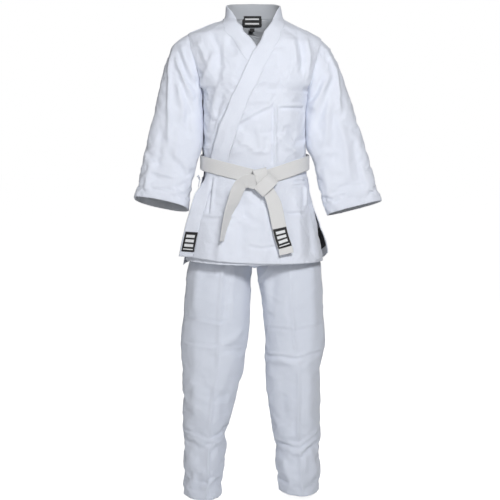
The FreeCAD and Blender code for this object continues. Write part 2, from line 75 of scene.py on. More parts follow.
CLOTH, BAND, BELT = 1.5, 3.2, 2.4          # thickness of each kind of cloth


# ---- Curves and surfaces --------------------------------------------------------------------

def ease(x):
    x = np.clip(x, 0.0, 1.0)
    return x * x * (3 - 2 * x)


def through(table, at):
    """Smooth values from a table of rows (key, values...), with no overshoot between rows."""
    rows = np.array(sorted(table), float)
    x, y = rows[:, 0], rows[:, 1:]
    h = np.diff(x)
    slope = np.diff(y, axis=0) / h[:, None]
    m = np.zeros_like(y)
    m[0], m[-1] = slope[0], slope[-1]
    if len(x) > 2:
        a, b = slope[:-1], slope[1:]
        w1, w2 = (2 * h[1:] + h[:-1])[:, None], (h[1:] + 2 * h[:-1])[:, None]
        same = a * b > 0
        safe_a, safe_b = np.where(same, a, 1.0), np.where(same, b, 1.0)
        m[1:-1] = np.where(same, (w1 + w2) / (w1 / safe_a + w2 / safe_b), 0.0)
    at = np.clip(np.asarray(at, float), x[0], x[-1])
    i = np.clip(np.searchsorted(x, at, side="right") - 1, 0, len(x) - 2)
    s = ((at - x[i]) / h[i])[..., None]
    hi = h[i][..., None]
    out = ((1 + 2 * s) * (1 - s) ** 2 * y[i] + s * (1 - s) ** 2 * hi * m[i]
           + s * s * (3 - 2 * s) * y[i + 1] + s * s * (s - 1) * hi * m[i + 1])
    return out[..., 0] if out.shape[-1] == 1 else out


TORSO = [
    # z, right edge x, left edge x, front depth, back depth, squareness
    (44, -78, 69, 55, 60, 2.2), (30, -81, 72, 57, 59, 2.2), (-8, -91, 83, 62, 62, 2.2),
    (-24, -130, 112, 68, 66, 2.3), (-36, -160, 140, 74, 70, 2.4), (-50, -192, 168, 80, 78, 2.5),
    (-63, -199, 190, 86, 84, 2.5), (-80, -200, 200, 94, 92, 2.5), (-110, -196, 198, 106, 106, 2.5),
    (-150, -180, 186, 115, 115, 2.5), (-190, -160, 166, 119, 119, 2.5),
    (-215, -149, 152, 119, 118, 2.4), (-260, -148, 149, 117, 114, 2.3),
    (-300, -150, 149, 115, 110, 2.3), (-360, -150, 148, 110, 106, 2.2),
    (-430, -145, 150, 102, 101, 2.2), (-500, -158, 160, 111, 110, 2.3),
    (-600, -186, 182, 123, 121, 2.4), (-710, -204, 199, 132, 131, 2.5),
]
# Station, height and x of each collar band's free edge, from the belt up to the neck, and
# then station, height and angle round the neck to the nape.
EDGE_X = {
    1: [(4, -400, -119), (5, -287, -83), (5.5, -232, -63), (6, -190, -42), (6.5, -133, -17),
        (7, -91, 6), (7.3, -63, 21), (7.6, -36, 36), (8, -8, 51), (8.4, 13, 62)],
    -1: [(4, -400, 124), (5, -287, 90), (5.5, -232, 72), (6, -190, 52), (6.5, -133, 30),
         (7, -91, 6.5), (7.3, -63, -13), (7.6, -36, -32), (8, -8, -52), (8.4, 13, -67)],
}
SEAM_X = {
    1: [(4, -414, -75), (5, -301, -39), (5.5, -249, -20), (6, -208, 0), (6.5, -154, 24),
        (7, -113, 46), (7.3, -85, 60), (7.6, -58, 72), (8, -30, 82), (8.4, -12, 84)],
    -1: [(4, -414, 80), (5, -301, 46), (5.5, -249, 28), (6, -208, 9), (6.5, -154, -9),
         (7, -117, -32), (7.3, -89, -50), (7.6, -62, -68), (8, -31, -86), (8.4, -12, -91)],
}
EDGE_SKIRT = [(0, -700, 161), (1, -590, 158), (2, -520, 158), (3, -455, 155)]
SEAM_SKIRT = [(0, -700, 143), (1, -590, 140), (2, -520, 140), (3, -458, 132)]
EDGE_NECK = [(8.8, 27, 14), (9.2, 33, -12), (10, 39, -40), (12, 42, -90)]
SEAM_NECK = [(8.8, -8, -8), (9.2, -7, -24), (10, -6, -48), (12, -3, -90)]
ARMHOLE = {1: ((190, -63), (149, -222)), -1: ((-191.5, -49), (-150, -205))}


def torso(z, degrees, out=0.0):
    """Points on the jacket's surface, that far outside it."""
    z, degrees, out = np.broadcast_arrays(*(np.asarray(v, float) for v in (z, degrees, out)))
    right, left, front, back, square = np.moveaxis(through(TORSO, z), -1, 0)
    c, s = np.cos(np.radians(degrees)), np.sin(np.radians(degrees))
    power = 2 / square
    x = (left + right) / 2 + ((left - right) / 2 + out) * np.sign(c) * np.abs(c) ** power
    y = -(np.where(s > 0, front, back) + out) * np.sign(s) * np.abs(s) ** power
    return np.stack([x, y, z], -1)


def angle_at(z, x, side):
    """The angle, from that side's own side seam, where the front reaches x at height z."""
    right, left, _, _, square = (float(v) for v in through(TORSO, z))
    reach = np.clip(side * (x - (left + right) / 2) / ((left - right) / 2), -1, 1)
    return math.degrees(math.acos(math.copysign(abs(reach) ** (square / 2), reach)))


def stations_of(skirt, crossing, neck, side):
    return skirt + [(k, z, angle_at(z, x, side)) for k, z, x in crossing[side]] + neck


EDGE = {side: stations_of(EDGE_SKIRT, EDGE_X, EDGE_NECK, side) for side in (1, -1)}
SEAM = {side: stations_of(SEAM_SKIRT, SEAM_X, SEAM_NECK, side) for side in (1, -1)}


def side_angle(z, side):
    """Where a panel ends at the side: the armhole's angle, or 0 above and below it."""
    (x1, z1), (x2, z2) = ARMHOLE[side]
    right, left, _, _, square = np.moveaxis(through(TORSO, z), -1, 0)
    share = np.clip((z1 - z) / (z1 - z2), 0, 1)
    x = x1 + (x2 - x1) * share
    reach = np.clip(side * (x - (left + right) / 2) / ((left - right) / 2), 0, 1)
    inside = (z < z1) & (z > z2)
    return np.where(inside, np.degrees(np.arccos(reach ** (square / 2))), 0.0)


# ---- Grids of cloth -------------------------------------------------------------------------

def lengths(P, axis):
    """How far along the grid each point is, in millimetres, from the first row or column."""
    step = np.linalg.norm(np.diff(P, axis=axis), axis=-1)
    pad = [(0, 0), (0, 0)]
    pad[axis] = (1, 0)
    return np.cumsum(np.pad(step, pad), axis=axis)


def normals(P, loop=False):
    """Unit normals of a grid: down the rows crossed with along the columns."""
    if loop:
        along = np.roll(P, -1, 1) - np.roll(P, 1, 1)
    else:
        along = np.gradient(P, axis=1)
    down = np.gradient(P, axis=0)
    n = np.cross(down, along)
    size = np.linalg.norm(n, axis=-1, keepdims=True)
    n = np.where(size > 1e-9, n / np.maximum(size, 1e-9), 0)
    for _ in range(2):                      # rows that shrink to a point take their neighbours'
        weak = size[..., 0] < 1e-6
        n[weak] = (np.roll(n, 1, 0) + np.roll(n, -1, 0) + np.roll(n, 1, 1) + np.roll(n, -1, 1))[weak]
    return n / np.maximum(np.linalg.norm(n, axis=-1, keepdims=True), 1e-9)


def outward(P, loop=False, centre=(0.0, 0.0)):
    """Normals that point away from a vertical axis."""
    n = normals(P, loop)
    away = P[..., :2] - np.array(centre)
    if np.sum(n[..., :2] * away) < 0:
        n = -n
    return n


def to_line(points, line):
    """Signed distance to a line of points, the share of its length reached, and its length."""
    line = np.array(line, float)
    best = np.full(points.shape[:-1], 1e9)
    side, share, gone = np.zeros_like(best), np.zeros_like(best), 0.0
    total = np.linalg.norm(np.diff(line, axis=0), axis=1).sum()
    for a, b in zip(line, line[1:]):
        d = b - a
        size = np.linalg.norm(d)
        s = np.clip(((points - a) @ d) / size ** 2, 0, 1)
        off = points - a - s[..., None] * d
        dist = np.linalg.norm(off, axis=-1)
        nearer = dist < best
        best = np.where(nearer, dist, best)
        side = np.where(nearer, np.sign(d[0] * off[..., 1] - d[1] * off[..., 0]), side)
        share = np.where(nearer, (gone + s * size) / total, share)
        gone += size
    return best * np.where(side == 0, 1, side), share, total


DEEPER = 2.4          # how much stronger every fold is than its table says


def fold(P, N, folds, facing=-1):
    """Raises each fold of a list (kind, width, height, line of (x, z)) on the side that faces
    the front (-1) or the back (1). Widths and heights are millimetres."""
    seen = ease((facing * N[..., 1] - 0.02) / 0.4)
    flat = P[..., (0, 2)]
    move = np.zeros(P.shape[:2])
    for kind, width, height, line in folds:
        dist, share, total = to_line(flat, line)
        fade = min(0.45, 1.6 * width / total + 0.08)
        ends = ease(share / fade) * ease((1 - share) / fade)
        if kind == "soft":                  # a rounded ridge, or a valley with a height below 0
            shape = np.exp(-(dist / width) ** 2)
        elif kind == "crease":              # a ridge with a sharp top
            shape = np.clip(1 - np.abs(dist) / width, 0, 1) ** 1.6
        elif kind == "press":               # a pressed line: raised one side, sunk the other
            shape = (dist / width) * np.exp(0.5 - 0.5 * (dist / width) ** 2)
        else:                               # "step": higher on the line's left, easing away
            shape = np.where(dist > 0, np.exp(-dist / (3 * width)), 0) * ease(0.5 + dist / width)
        move += DEEPER * height * ends * shape
    return P + N * (move * seen)[..., None]


def ripple(P, size, seed, octaves=3):
    """Smooth noise, about -1 to 1, with features of that size in millimetres."""
    rng = np.random.default_rng(seed)
    out = np.zeros(P.shape[:-1])
    for octave in range(octaves):
        for _ in range(5):
            way = rng.normal(size=3)
            way *= 2 * math.pi / (size * 0.62 ** octave) / np.linalg.norm(way)
            bend = rng.normal(size=3) * 0.4 / size
            warp = 1.3 * np.sin(P @ bend + rng.uniform(0, 6.28))
            out += 0.55 ** octave * np.sin(P @ way + warp + rng.uniform(0, 6.28)) / 3.0
    return out


def rumple(P, N, size, height, seed, weight=1.0):
    return P + N * (height * weight * ripple(P, size, seed))[..., None]


def crinkle(P, N, size, height, seed, weight=1.0):
    """Sharp-ridged creases that run anyhow, with flat cloth between them."""
    ridge = 1 - np.abs(ripple(P, size, seed, 2)) / 0.55
    return P + N * (height * weight * np.clip(ridge, -0.4, 1) ** 3)[..., None]


# ---- From grids to meshes -------------------------------------------------------------------

def grid_faces(rows, cols, loop, start=0, flip=False):
    i, j = np.meshgrid(np.arange(rows - 1), np.arange(cols if loop else cols - 1), indexing="ij")
    k = (j + 1) % cols
    quads = np.stack([i * cols + j, i * cols + k, (i + 1) * cols + k, (i + 1) * cols + j], -1)
    quads = quads.reshape(-1, 4) + start
    return quads[:, ::-1] if flip else quads


def make_mesh(name, points, faces, uv=None, seam=None, smooth=True):
    """A mesh in metres from points in millimetres. uv and seam hold one value per point."""
    mesh = bpy.data.meshes.new(name)
    mesh.from_pydata((np.asarray(points).reshape(-1, 3) * MM).tolist(), [],
                     [list(map(int, f)) for f in faces])
    mesh.validate()
    if uv is not None:
        layer = mesh.uv_layers.new(name="cloth")
        loops = np.zeros(len(mesh.loops), int)
        mesh.loops.foreach_get("vertex_index", loops)
        layer.data.foreach_set("uv", (np.asarray(uv).reshape(-1, 2)[loops] * MM).ravel())
    if seam is not None:
        data = mesh.attributes.new("seam", "FLOAT_VECTOR", "POINT")
        data.data.foreach_set("vector", np.asarray(seam, float).reshape(-1, 3).ravel() * MM)
    mesh.polygons.foreach_set("use_smooth", [smooth] * len(mesh.polygons))
    mesh.update()
    ob = bpy.data.objects.new(name, mesh)
    bpy.context.scene.collection.objects.link(ob)
    return ob


def no_seam(P):
    """A seam attribute far from any seam: distance, distance along it, and wear."""
    out = np.zeros(P.shape[:2] + (3,))
    out[..., 0] = 500.0
    return out


def seam_from(*distances, along=None, shape=None):
    """The nearest of several distances, and how far along the seam each point is."""
    d = np.min(np.stack(np.broadcast_arrays(*distances), 0), 0)
    a = np.broadcast_to(along if along is not None else 0.0, d.shape)
    return np.stack([d, a, np.zeros_like(d)], -1)


def shell(name, P, thick, loop=False, N=None, uv=None, seam=None, turned=False):
    """A closed thin sheet: the grid is its outer face, and the inner face lies under it."""
    rows, cols = P.shape[:2]
    N = normals(P, loop) if N is None else N
    thick = np.broadcast_to(thick, (rows, cols))
    inner = P - N * thick[..., None]
    uv = np.stack([lengths(P, 1), lengths(P, 0)], -1) if uv is None else uv
    seam = no_seam(P) if seam is None else seam
    n = rows * cols
    faces = [grid_faces(rows, cols, loop, 0, turned), grid_faces(rows, cols, loop, n, not turned)]

    def rim(ids, reverse):
        a, b = ids[:-1], ids[1:]
        quads = np.stack([a, b, b + n, a + n], -1)
        return quads[:, ::-1] if reverse else quads
    top = np.arange(cols)
    if loop:
        top = np.append(top, 0)
    bottom = top + (rows - 1) * cols
    faces += [rim(top, not turned), rim(bottom, turned)]
    if not loop:
        left = np.arange(rows) * cols
        faces += [rim(left, turned), rim(left + cols - 1, not turned)]
    points = np.concatenate([P.reshape(-1, 3), inner.reshape(-1, 3)])
    uv2 = np.concatenate([uv.reshape(-1, 2), uv.reshape(-1, 2)])
    seam2 = np.concatenate([seam.reshape(-1, 3), seam.reshape(-1, 3)])
    ob = make_mesh(name, points, np.concatenate(faces), uv2, seam2)
    ob["outer_faces"] = len(faces[0])
    return ob


def paint_inner_shade(ob, material):
    """Gives a sheet's inner face a material of its own: the darker cotton that paints the shade
    inside the garment.
    """
    ob.data.materials.append(material)
    count = ob["outer_faces"]
    for face in ob.data.polygons[count:2 * count]:
        face.material_index = 1


def cut(P, loop=False):
    """Width, length and area, in metres, that a piece is cut to."""
    Q = np.concatenate([P, P[:, :1]], 1) if loop else P
    a, b, c, d = Q[:-1, :-1], Q[:-1, 1:], Q[1:, 1:], Q[1:, :-1]
    total = np.linalg.norm(np.cross(b - a, c - a), axis=-1) + np.linalg.norm(
        np.cross(c - a, d - a), axis=-1)
    wide, long = lengths(Q, 1)[:, -1].max() * MM, lengths(Q, 0)[-1].max() * MM
    return [float(wide), float(long), min(float(total.sum() / 2 * MM * MM), float(wide * long))]


def spread(move, rows, cols, shape, loop):
    """Values known at some rows and columns of a grid, spread smoothly over all of it."""
    if loop:
        cols, move = np.append(cols, shape[1]), np.concatenate([move, move[:, :1]], 1)
    down = np.stack([np.stack([np.interp(np.arange(shape[0]), rows, move[:, j, k])
                               for j in range(len(cols))], 1) for k in range(3)], -1)
    return np.stack([np.stack([np.interp(np.arange(shape[1]), cols, down[i, :, k])
                               for i in range(shape[0])], 0) for k in range(3)], -1)


def settle(P, hold, loop=False, frames=20, slack=0.02, stiff=3.0, step=3, most=9.0):
    """Lets a grid settle as cloth under gravity, simulated on every few rows and columns.
    hold is 1 where the cloth stays and near 0 where it is free."""
    rows, cols = np.arange(0, P.shape[0], step), np.arange(0, P.shape[1], step)
    rows = np.unique(np.append(rows, P.shape[0] - 1))
    if not loop:
        cols = np.unique(np.append(cols, P.shape[1] - 1))
    coarse = P[np.ix_(rows, cols)]
    hold = np.broadcast_to(hold, P.shape[:2])[np.ix_(rows, cols)]
    ob = make_mesh("settling", coarse, grid_faces(len(rows), len(cols), loop))
    group = ob.vertex_groups.new(name="hold")
    for index, weight in enumerate(hold.ravel()):
        group.add([index], float(weight), "REPLACE")
    cloth = ob.modifiers.new("cloth", "CLOTH").settings
    cloth.quality = 5
    cloth.mass = 0.3
    cloth.tension_stiffness = cloth.compression_stiffness = 25
    cloth.shear_stiffness = 12
    cloth.bending_stiffness = stiff
    cloth.vertex_group_mass = "hold"
    cloth.pin_stiffness = 1.2
    cloth.shrink_min = -slack
    scene = bpy.context.scene
    scene.frame_start, scene.frame_end = 1, frames
    for f in range(1, frames + 1):
        scene.frame_set(f)
    evaluated = ob.evaluated_get(bpy.context.evaluated_depsgraph_get())
    found = np.zeros(len(evaluated.data.vertices) * 3)
    evaluated.data.vertices.foreach_get("co", found)
    mesh = ob.data
    bpy.data.objects.remove(ob)
    bpy.data.meshes.remove(mesh)
    scene.frame_set(1)
    move = found.reshape(len(rows), len(cols), 3) / MM - coarse
    size = np.linalg.norm(move, axis=-1, keepdims=True)
    move *= np.minimum(1, most / np.maximum(size, 1e-9))
    return P + spread(move, rows, cols, P.shape[:2], loop)


# ---- Materials ------------------------------------------------------------------------------

class Nodes:
    """A small helper that adds nodes to a material and links them."""

    def __init__(self, name):
        self.material = bpy.data.materials.new(name)
        self.material.use_nodes = True
        self.tree = self.material.node_tree
        self.tree.nodes.clear()

    def add(self, kind, **values):
        node = self.tree.nodes.new(kind)
        for key, value in values.items():
            if key.startswith("in_"):
                node.inputs[key[3:].replace("_", " ")].default_value = value
            else:
                setattr(node, key, value)
        return node

    def link(self, source, target):
        self.tree.links.new(source, target)

    def math(self, operation, a, b=None, c=None, clamp=False):
        node = self.add("ShaderNodeMath", operation=operation, use_clamp=clamp)
        for socket, value in zip(node.inputs, (a, b, c)):
            if value is None:
                continue
            if isinstance(value, (int, float)):
                socket.default_value = value
            else:
                self.link(value, socket)
        return node.outputs[0]

    def noise(self, vector, scale, detail=3.0, rough=0.55):
        node = self.add("ShaderNodeTexNoise", in_Scale=scale, in_Detail=detail,
                        in_Roughness=rough)
        self.link(vector, node.inputs["Vector"])
        return node.outputs["Fac"]

    def ramp(self, value, *stops):
        node = self.add("ShaderNodeValToRGB")
        ramp = node.color_ramp
        while len(ramp.elements) < len(stops):
            ramp.elements.new(0.5)
        for element, (place, colour) in zip(ramp.elements, stops):
            element.position = place
            element.color = (*colour, 1.0)
        self.link(value, node.inputs["Fac"])
        return node.outputs["Color"]

    def mix(self, share, a, b, how="MIX"):
        node = self.add("ShaderNodeMix", data_type="RGBA", blend_type=how)
        for socket, value in ((node.inputs[0], share), (node.inputs[6], a), (node.inputs[7], b)):
            if isinstance(value, (int, float)):
                socket.default_value = value
            elif isinstance(value, tuple):
                socket.default_value = (*value, 1.0)
            else:
                self.link(value, socket)
        return node.outputs[2]


def srgb(r, g, b):
    """A colour from 0-255 screen values."""
    return tuple(v / 12.92 / 255 if v <= 10 else ((v / 255 + 0.055) / 1.055) ** 2.4
                 for v in (r, g, b))


def woven(name, light, dark, thread, twill=True, ribs=0.0, rough=0.88, sheen=0.25, stitch=None,
          mottle=0.5, crease=0.35):
    """Cloth with its weave, mottling, small creases, painted shade along its seam grooves and rows of
    stitches along its seams.

    thread is the weave's pitch in metres. The stitches follow the mesh's seam attribute: its
    distance from the row of stitches, and how far along the seam each point is.
    """
    n = Nodes(name)
    shader = n.add("ShaderNodeBsdfPrincipled", in_Roughness=rough, in_Sheen_Weight=sheen,
                   in_Sheen_Roughness=0.45, in_Specular_IOR_Level=0.25)
    out = n.add("ShaderNodeOutputMaterial")
    n.link(shader.outputs[0], out.inputs[0])
    place = n.add("ShaderNodeUVMap", uv_map="cloth").outputs[0]
    split = n.add("ShaderNodeSeparateXYZ")
    n.link(place, split.inputs[0])
    u, v = split.outputs[0], split.outputs[1]
    turn = 2 * math.pi / thread
    if twill:
        line = n.math("ADD", n.math("MULTIPLY", u, turn), n.math("MULTIPLY", v, turn * 0.62))
        weave = n.math("MULTIPLY_ADD", n.math("SINE", line), 0.5, 0.5)
        across = n.math("SINE", n.math("MULTIPLY", v, turn * 1.9))
        weave = n.math("MULTIPLY_ADD", across, 0.14, weave)
    else:
        warp = n.math("SINE", n.math("MULTIPLY", u, turn))
        weft = n.math("SINE", n.math("MULTIPLY", v, turn * 0.8))
        weave = n.math("MULTIPLY_ADD", n.math("MULTIPLY", warp, weft), 0.4, 0.5)
    if ribs:
        rib = n.math("ABSOLUTE", n.math("SINE", n.math("MULTIPLY", u, math.pi / ribs)))
        weave = n.math("MULTIPLY_ADD", n.math("POWER", rib, 0.4), 0.9, weave)
    broad = n.noise(place, 7.0, 4.0)
    fine = n.noise(place, 420.0, 3.0, 0.6)
    slub = n.add("ShaderNodeMapping")
    slub.inputs["Scale"].default_value = (1.0, 0.05, 1.0)
    n.link(place, slub.inputs["Vector"])
    slubs = n.noise(slub.outputs[0], 900.0, 2.0)
    tone = n.math("ADD", n.math("MULTIPLY", broad, 0.55 * mottle),
                  n.math("ADD", n.math("MULTIPLY", fine, 0.25), n.math("MULTIPLY", weave, 0.22)))
    tone = n.math("ADD", tone, n.math("MULTIPLY", slubs, 0.18), clamp=True)
    colour = n.ramp(tone, (0.25, dark), (0.75, light))
    seam = n.add("ShaderNodeAttribute", attribute_name="seam")
    parts = n.add("ShaderNodeSeparateXYZ")
    n.link(seam.outputs["Vector"], parts.inputs[0])
    near = n.math("SUBTRACT", 1.0, n.math("DIVIDE", n.math("ABSOLUTE", parts.outputs[0]), 0.0009),
                  clamp=True)
    dash = n.math("GREATER_THAN", n.math("SINE", n.math("MULTIPLY", parts.outputs[1], 2 * math.pi
                                                        / 0.0038)), -0.55)
    stitches = n.math("MULTIPLY", near, dash)
    groove = n.math("SUBTRACT", 1.0, n.math("DIVIDE", n.math("ABSOLUTE", parts.outputs[0]),
                                            0.003), clamp=True)
    # painted shade: the colour darkens a little towards the dark tone along each seam's groove, where
    # shade falls
    shade = n.mix(n.math("MULTIPLY", groove, 0.12), colour, dark)
    n.link(n.mix(n.math("MULTIPLY", stitches, 0.35), shade, stitch or light),
           shader.inputs["Base Color"])
    crumple = n.noise(place, 26.0, 5.0, 0.5)
    height = n.math("ADD", n.math("MULTIPLY", weave, 0.00012),
                    n.math("MULTIPLY", crumple, 0.0030 * crease))
    height = n.math("ADD", height, n.math("MULTIPLY", fine, 0.00010))
    height = n.math("SUBTRACT", height, n.math("MULTIPLY", groove, 0.00028))
    height = n.math("ADD", height, n.math("MULTIPLY", stitches, 0.0003))
    bump = n.add("ShaderNodeBump", in_Strength=0.85, in_Distance=1.0)
    n.link(height, bump.inputs["Height"])
    n.link(bump.outputs[0], shader.inputs["Normal"])
    n.link(n.math("MULTIPLY_ADD", fine, 0.10, rough - 0.06), shader.inputs["Roughness"])
    return n.material


WHITE, WHITE_LOW = srgb(240, 244, 253), srgb(223, 228, 241)
COTTON = woven("jacket_cotton_drill", WHITE, WHITE_LOW, 0.0011)
# painted shade: a greyer, darker cotton for the inner faces, so the garment's insides read as shaded
INSIDE_PAINTED_SHADE = woven("jacket_inside_painted_shade", srgb(205, 208, 214), srgb(186, 190, 197), 0.0011)
BAND_COTTON = woven("band_cotton", srgb(241, 245, 254), srgb(225, 230, 243), 0.0010, crease=0.2)
TROUSER = woven("trouser_cotton", srgb(236, 241, 251), srgb(218, 224, 238), 0.0012)
BELTING = woven("belt_cotton", srgb(228, 228, 228), srgb(208, 208, 208), 0.0012, twill=False,
                ribs=0.0042, sheen=0.2, mottle=0.6, crease=0.12)
ELASTIC = woven("waist_elastic", srgb(232, 232, 230), srgb(205, 206, 207), 0.0016, twill=False,
                ribs=0.0020, crease=0.1)


def label_cloth(name, motif):
    """Black woven label cloth with plain pale bars across it, or none."""
    n = Nodes(name)
    shader = n.add("ShaderNodeBsdfPrincipled", in_Roughness=0.62, in_Sheen_Weight=0.15,
                   in_Sheen_Roughness=0.4)
    out = n.add("ShaderNodeOutputMaterial")
    n.link(shader.outputs[0], out.inputs[0])
    place = n.add("ShaderNodeUVMap", uv_map="cloth").outputs[0]
    split = n.add("ShaderNodeSeparateXYZ")
    n.link(place, split.inputs[0])
    u, v = split.outputs[0], split.outputs[1]
    turn = 2 * math.pi / 0.0006
    weave = n.math("MULTIPLY", n.math("SINE", n.math("MULTIPLY", u, turn)),
                   n.math("SINE", n.math("MULTIPLY", v, turn * 0.7)))
    weave = n.math("MULTIPLY_ADD", weave, 0.5, 0.5)
    base = n.mix(weave, srgb(16, 16, 19), srgb(34, 34, 38))
    if motif:
        # pale bars across the label, each (centre down from the top, half height, half length)
        width, bars = motif
        du = n.math("ABSOLUTE", n.math("SUBTRACT", u, width / 2))
        thread = n.mix(weave, srgb(246, 247, 248), srgb(214, 216, 220))
        for centre, half, reach in bars:
            dv = n.math("ABSOLUTE", n.math("SUBTRACT", v, centre))
            inside = n.math("MULTIPLY", n.math("LESS_THAN", dv, half),
                            n.math("LESS_THAN", du, reach))
            base = n.mix(inside, base, thread)
    n.link(base, shader.inputs["Base Color"])
    bump = n.add("ShaderNodeBump", in_Strength=0.6, in_Distance=1.0)
    n.link(n.math("MULTIPLY", weave, 0.0002), bump.inputs["Height"])
    n.link(bump.outputs[0], shader.inputs["Normal"])
    return n.material


def finish_piece(ob, material, nodes, body=None, blend=None):
    """Gives the piece its material in a slot of its own, hides the CAD nodes it stands for, and
    parents it to its body. With blend given, it only bakes the piece's transform in place, and the
    bodies and points in blend are not used.
    """
    ob.data.materials.append(material)
    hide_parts(*nodes)
    if blend:
        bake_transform(ob)
    else:
        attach(ob, body)
    return ob


# ---- Folds, as seen from the front or the back ----------------------------------------------

CHEST = [
    ("soft", 11, -2.6, [(-128, -40), (-101, -90), (-98, -146), (-107, -205)]),
    ("soft", 9, 3.0, [(-112, -100), (-122, -140), (-140, -175), (-150, -215)]),
    ("soft", 8, 2.2, [(-160, -70), (-140, -110), (-128, -150)]),
    ("soft", 12, -2.2, [(-78, -60), (-60, -92), (-44, -120)]),
    ("soft", 12, 2.0, [(-60, -50), (-36, -84), (-16, -112)]),
    ("soft", 14, 1.4, [(-6, -196), (30, -184), (72, -200)]),
    ("soft", 13, -1.2, [(-10, -214), (30, -204), (84, -212)]),
    ("soft", 8, 1.0, [(-24, -250), (10, -240), (56, -246)]),
    ("press", 3.5, 1.7, [(56, -245), (55, -330), (55, -425)]),
    ("press", 3.5, 1.8, [(66, -258), (100, -257), (140, -255)]),
    ("crease", 7, 1.7, [(60, -247), (26, -262), (-10, -280), (-44, -300), (-66, -330)]),
    ("soft", 9, -1.4, [(50, -262), (16, -280), (-20, -300), (-48, -326)]),
    ("soft", 9, -2.6, [(118, -40), (132, -90), (135, -130), (131, -175)]),
    ("soft", 8, 2.8, [(140, -60), (152, -110), (150, -170), (144, -215)]),
    ("soft", 8, 2.2, [(100, -60), (112, -100), (114, -150)]),
    ("soft", 9, 2.0, [(76, -205), (98, -222), (122, -240)]),
    ("soft", 10, 2.2, [(-98, -190), (-112, -240), (-118, -300)]),
    ("soft", 8, -1.8, [(-84, -215), (-104, -270), (-120, -340)]),
    ("press", 4, 1.4, [(-70, -250), (-96, -300), (-118, -372)]),
    ("soft", 10, 2.0, [(-20, -330), (-48, -372), (-70, -402)]),
    ("soft", 12, -1.8, [(90, -300), (112, -340), (134, -372)]),
    ("soft", 10, 2.0, [(64, -330), (96, -368), (128, -392)]),
    ("soft", 9, 1.2, [(92, -378), (112, -352), (130, -320)]),
    ("soft", 10, 1.8, [(8, -300), (18, -350), (20, -400)]),
]
SKIRT = [
    ("soft", 12, -2.4, [(-43, -545), (-20, -566), (10, -582)]),
    ("soft", 10, 2.0, [(-48, -560), (-22, -582), (4, -598)]),
    ("press", 3.5, 1.4, [(86, -552), (112, -551), (146, -553)]),
    ("press", 3.5, 1.6, [(143, -478), (143, -510), (144, -540)]),
    ("press", 3, 1.5, [(112, -462), (134, -463), (154, -458)]),
    ("press", 3, 1.2, [(104, -478), (130, -474), (152, -472)]),
    ("press", 4, 1.6, [(-114, -448), (-120, -500), (-127, -560)]),
    ("soft", 12, 2.4, [(-60, -470), (-78, -540), (-92, -620), (-98, -690)]),
    ("soft", 14, -2.4, [(-26, -500), (-34, -590), (-38, -690)]),
    ("soft", 14, 2.4, [(118, -490), (124, -590), (130, -695)]),
    ("soft", 12, -2.2, [(152, -500), (160, -600), (164, -695)]),
    ("soft", 13, 1.8, [(30, -520), (32, -610), (30, -695)]),
    ("press", 4, 0.7, [(-160, -560), (-110, -565), (-50, -562)]),
    ("press", 4, 1.0, [(-20, -640), (20, -646), (62, -642)]),
]
BACK = [
    ("soft", 12, -2.4, [(-120, -60), (-100, -130), (-104, -200)]),
    ("soft", 12, -2.4, [(118, -58), (98, -130), (104, -205)]),
    ("soft", 12, 2.6, [(-132, -110), (-140, -160), (-146, -214)]),
    ("soft", 12, 2.6, [(132, -110), (142, -160), (146, -216)]),
    ("soft", 14, 2.2, [(-100, -40), (0, -56), (96, -42)]),
    ("press", 4, 1.5, [(-130, -262), (0, -258), (128, -260)]),
    ("press", 3.5, 1.3, [(2, -30), (0, -220), (0, -400)]),
    ("soft", 10, 2.4, [(-50, -300), (-66, -350), (-84, -396)]),
    ("soft", 10, 2.2, [(44, -310), (62, -356), (86, -398)]),
    ("soft", 10, -2.2, [(-16, -320), (-20, -360), (-26, -400)]),
    ("soft", 9, 2.0, [(14, -330), (18, -366), (22, -400)]),
    ("soft", 10, 2.2, [(-112, -330), (-122, -366), (-130, -396)]),
    ("soft", 13, 2.6, [(-70, -450), (-84, -560), (-96, -700)]),
    ("soft", 13, -2.6, [(-30, -450), (-36, -560), (-40, -700)]),
    ("soft", 13, 2.6, [(14, -450), (16, -560), (18, -700)]),
    ("soft", 13, -2.4, [(58, -450), (68, -560), (78, -700)]),
    ("soft", 13, 2.6, [(104, -460), (120, -570), (134, -700)]),
    ("press", 4, 1.5, [(-170, -566), (0, -560), (170, -564)]),
]


# ---- The jacket -----------------------------------------------------------------------------

def layer(degrees):
    """How far the outer front lies outside the torso: level at the side, clear past the middle."""
    return 4.6 * ease(degrees / 90.0)


def out_of(side, degrees):
    """The offset of the left front (1) or the right front (-1) at that angle from its own side."""
    return layer(degrees) if side > 0 else 4.6 * (ease(degrees / 90.0) - 1) * 0.9


def world_angle(side, degrees):
    return degrees if side > 0 else 180.0 - degrees


def hem_height(side, x):
    """The hem's height across the front, a little higher towards its free corner."""
    if side > 0:
        return through([(-215, -678), (-165, -680), (-80, -688), (38, -693), (120, -694),
                        (192, -693), (215, -692)], x)
    return through([(-215, -690), (-160, -693), (-60, -697), (40, -697), (215, -688)], x)


def station_rows(heights, table):
    """The angle on an edge or seam table at those heights, below the shoulder."""
    rows = [(z, t) for _, z, t in table]
    return through(rows, heights)


def front(side):
    """One front panel, from its shoulder and side seam to the seam of its collar band."""
    heights = np.concatenate([np.linspace(-8, -40, 16)[:-1], np.linspace(-40, -110, 21)[:-1],
                              np.linspace(-110, -700, 166)])
    start = side_angle(heights, side)
    stop = station_rows(heights, SEAM[side])
    cols = 118
    share = np.linspace(0, 1, cols)
    angle = start[:, None] + (np.maximum(stop, start + 0.01) - start)[:, None] * share
    z = heights[:, None] + 0 * angle
    P = torso(z, world_angle(side, angle), out_of(side, angle))
    drop = ease((-500 - z) / 200)
    P[..., 2] += drop * (hem_height(side, P[..., 0]) + 700)
    return P, angle


